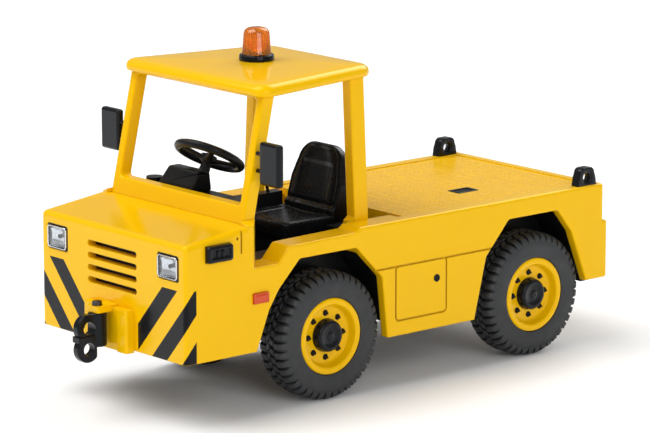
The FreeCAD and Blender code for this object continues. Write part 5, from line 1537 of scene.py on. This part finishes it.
@dataclass
class BaseScrews(Assembly):
    """Cross-head screws that hold the base to the casting, seen from below."""

    radius: float = 1.0
    slot: float = 0.26
    shares: tuple[float, ...] = (0.07, 0.52, 0.95)

    def build(self) -> None:
        """Put a screw near the nose, one between the axles and one near the tail."""
        low, high = box_mm("base_plate")
        wheel_low, wheel_high = box_mm("tyre_front_left")
        under = (wheel_low.z + wheel_high.z) / 2 + 0.3
        pieces = []
        for share in self.shares:
            middle = Vector((0, low.y + (high.y - low.y) * share, under))
            ring = [(0.1, 1.25), (-0.35, 1.25), (-0.42, 1.4), (-0.42, 1.6), (-0.35, 1.72), (0.1, 1.78)]
            boss = lathe(f"screw_boss_{int(share * 100):02d}", self.palette.moulding, 30.0, ring, middle, UP, 40)
            self.keep(boss, "black_plastic")
            sector = bmesh.new()
            gap = self.slot / 2
            points = [(gap, gap)] + [(max(gap, self.radius * math.cos(math.radians(t))),
                                      max(gap, self.radius * math.sin(math.radians(t)))) for t in range(12, 80, 13)]
            loft(sector, [[middle + Vector((x * k, y * k, z)) for x, y in points]
                          for z, k in ((0.05, 1.0), (-0.12, 1.0), (-0.2, 0.85))])
            quarter = made("sector", sector, self.palette.steel, 30.0)
            pieces.append(self.repeater.run(quarter, Repeat.AROUND, Count=4, Centre=middle * MM,
                                            Step=(0.0, 0.0, math.pi / 2)))
            disc = [(0.15, 0.0), (0.15, 1.1), (0.02, 1.1), (0.02, 0.0)]
            pieces.append(lathe("disc", self.palette.steel, 30.0, disc, middle, UP, 32))
        self.keep(joined("base_screws", pieces), "axle_steel")


# ---- carried-over nodes ---------------------------------------------------
@dataclass
class Dressing:
    """Gives every CAD node its finish."""

    palette: Palette

    def build(self) -> None:
        """Match each node's name to a finish and put it in the node's slots."""
        shades = self.palette
        rules: tuple[tuple[tuple[str, ...], Material], ...] = (
            (("body_casting",), shades.striped), (("deck_plate",), shades.deck), (("tyre",), shades.tyre),
            (("windscreen_frame", "roof", "tow_block", "rear_post", "rim"), shades.enamel),
            (("seat_cushion", "seat_back"), shades.hide), (("front_axle", "rear_axle"), shades.steel),
            (("tow_pin", "rear_hitch_pin"), shades.blacked), (("headlight_lens",), shades.clear),
            (("beacon_lens",), shades.amber), (("side_marker",), shades.orange), (("tail_lamp",), shades.red),
            (("headlight_housing", "hub_cap", "tow_eye", "lifting_lug", "rear_hitch", "mirror"), shades.polished))
        for name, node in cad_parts.items():
            finish = next((shade for starts, shade in rules if name.startswith(starts)), shades.moulding)
            for place in node.material_slots:
                place.material = finish


# ---- studio ---------------------------------------------------------------
@dataclass
class Studio:
    """Pale floor, white surroundings, three soft lights and the camera."""

    azimuth: float = 49.4
    elevation: float = 12.07
    distance: float = 0.548
    diffuse_share: float = 0.42
    glossy_share: float = 0.36
    aim_behind_nose: float = 39.235
    aim_height: float = 22.4
    lens: float = 207.3
    sensor: float = 36.0
    floor_half: float = 4.0
    aim: Vector = field(init=False)

    def build(self) -> None:
        """Build the surroundings and the camera."""
        bpy.context.scene.view_settings.view_transform = "Standard"
        self.aim = Vector((0.0, box_mm("body_casting")[0].y + self.aim_behind_nose, self.aim_height)) * MM
        self.floor()
        self.world()
        self.light("key_softbox", (-0.3, -0.45, 0.95), 0.9, 10.6)
        self.light("side_softbox", (0.85, -0.25, 0.4), 0.6, 3.3)
        self.light("rear_softbox", (-0.2, 0.8, 0.7), 0.7, 5.0)
        self.camera()

    def floor(self) -> None:
        """Large pale sheet under the model."""
        form = bmesh.new()
        bmesh.ops.create_grid(form, x_segments=8, y_segments=8, size=self.floor_half)
        mesh = bpy.data.meshes.new("studio_floor")
        form.to_mesh(mesh)
        form.free()
        # Matt white paper, with a faint unevenness.
        paper = Finish("matt_white_paper", "#FBFBFB", "#F7F7F7", 60.0, 0.85, 0.05, 2.0, 0.002, edge_mm=0.01)
        mesh.materials.append(paper.build())
        floor = put_in_scene("studio_floor", mesh)

    def world(self) -> None:
        """White surroundings, a little darker and cooler overhead than at and below the horizon, which shed less
        light than they show to the camera.
        """
        world = bpy.data.worlds.new("white_surroundings")
        world.use_nodes = True
        tree = world.node_tree
        tree.nodes.clear()
        place = add_node(tree, "ShaderNodeTexCoord").outputs["Generated"]
        up = add_node(tree, "ShaderNodeSeparateXYZ", {0: place}).outputs[2]
        share = add_node(tree, "ShaderNodeMapRange", {"Value": up, "From Min": 0.0, "From Max": 0.8})
        colour = mix_colour(tree, share.outputs[0], linear("#F2F2F2"), linear("#DEE0E2"))
        rays = add_node(tree, "ShaderNodeLightPath").outputs
        diffuse = work_out(tree, "MULTIPLY", rays["Is Diffuse Ray"], 1.0 - self.diffuse_share)
        glossy = work_out(tree, "MULTIPLY", rays["Is Glossy Ray"], 1.0 - self.glossy_share)
        strength = work_out(tree, "SUBTRACT", 1.0, work_out(tree, "MAXIMUM", diffuse, glossy))
        sky = add_node(tree, "ShaderNodeBackground", {"Color": colour, "Strength": strength})
        add_node(tree, "ShaderNodeOutputWorld", {"Surface": sky.outputs[0]})
        bpy.context.scene.world = world

    def light(self, name: str, place: tuple[float, float, float], size: float, power: float) -> None:
        """Add a square soft light that looks at the middle of the model.

        Args:
            name: Name of the light.
            place: Where it stands, in metres.
            size: Length of its side.
            power: Power in watts.
        """
        data = bpy.data.lights.new(name, "AREA")
        data.size = size
        data.energy = power
        lamp = put_in_scene(name, data)
        lamp.location = place
        lamp.rotation_mode = "QUATERNION"
        lamp.rotation_quaternion = (self.aim - Vector(place)).to_track_quat("-Z", "Y")

    def camera(self) -> None:
        """Long lens, far off, ahead and to the left of the vehicle."""
        a, e = math.radians(self.azimuth), math.radians(self.elevation)
        back = Vector((math.sin(a) * math.cos(e), -math.cos(a) * math.cos(e), math.sin(e)))
        data = bpy.data.cameras.new("camera")
        data.lens = self.lens
        data.sensor_width = self.sensor
        data.clip_start, data.clip_end = 0.01, 20.0
        camera = put_in_scene("camera", data)
        camera.rotation_mode = "QUATERNION"
        camera.location = self.aim + back * self.distance
        camera.rotation_quaternion = (-back).to_track_quat("-Z", "Y")
        bpy.context.scene.camera = camera


def main() -> None:
    """Build the finishes, then each sub-assembly in turn."""
    logging.basicConfig(level=logging.INFO, format="%(name)s: %(message)s")
    palette = Palette(box_mm("body_casting")[0].y)
    repeater = Repeater()
    Studio().build()
    Dressing(palette).build()
    for end in ENDS:
        for side in SIDES:
            Wheel(palette, repeater, end, side).build()
    for group in (Seat, Controls, Lamps, Roof, Deck, Lugs, BaseScrews):
        group(palette, repeater).build()


if __name__ == "__main__":
    main()
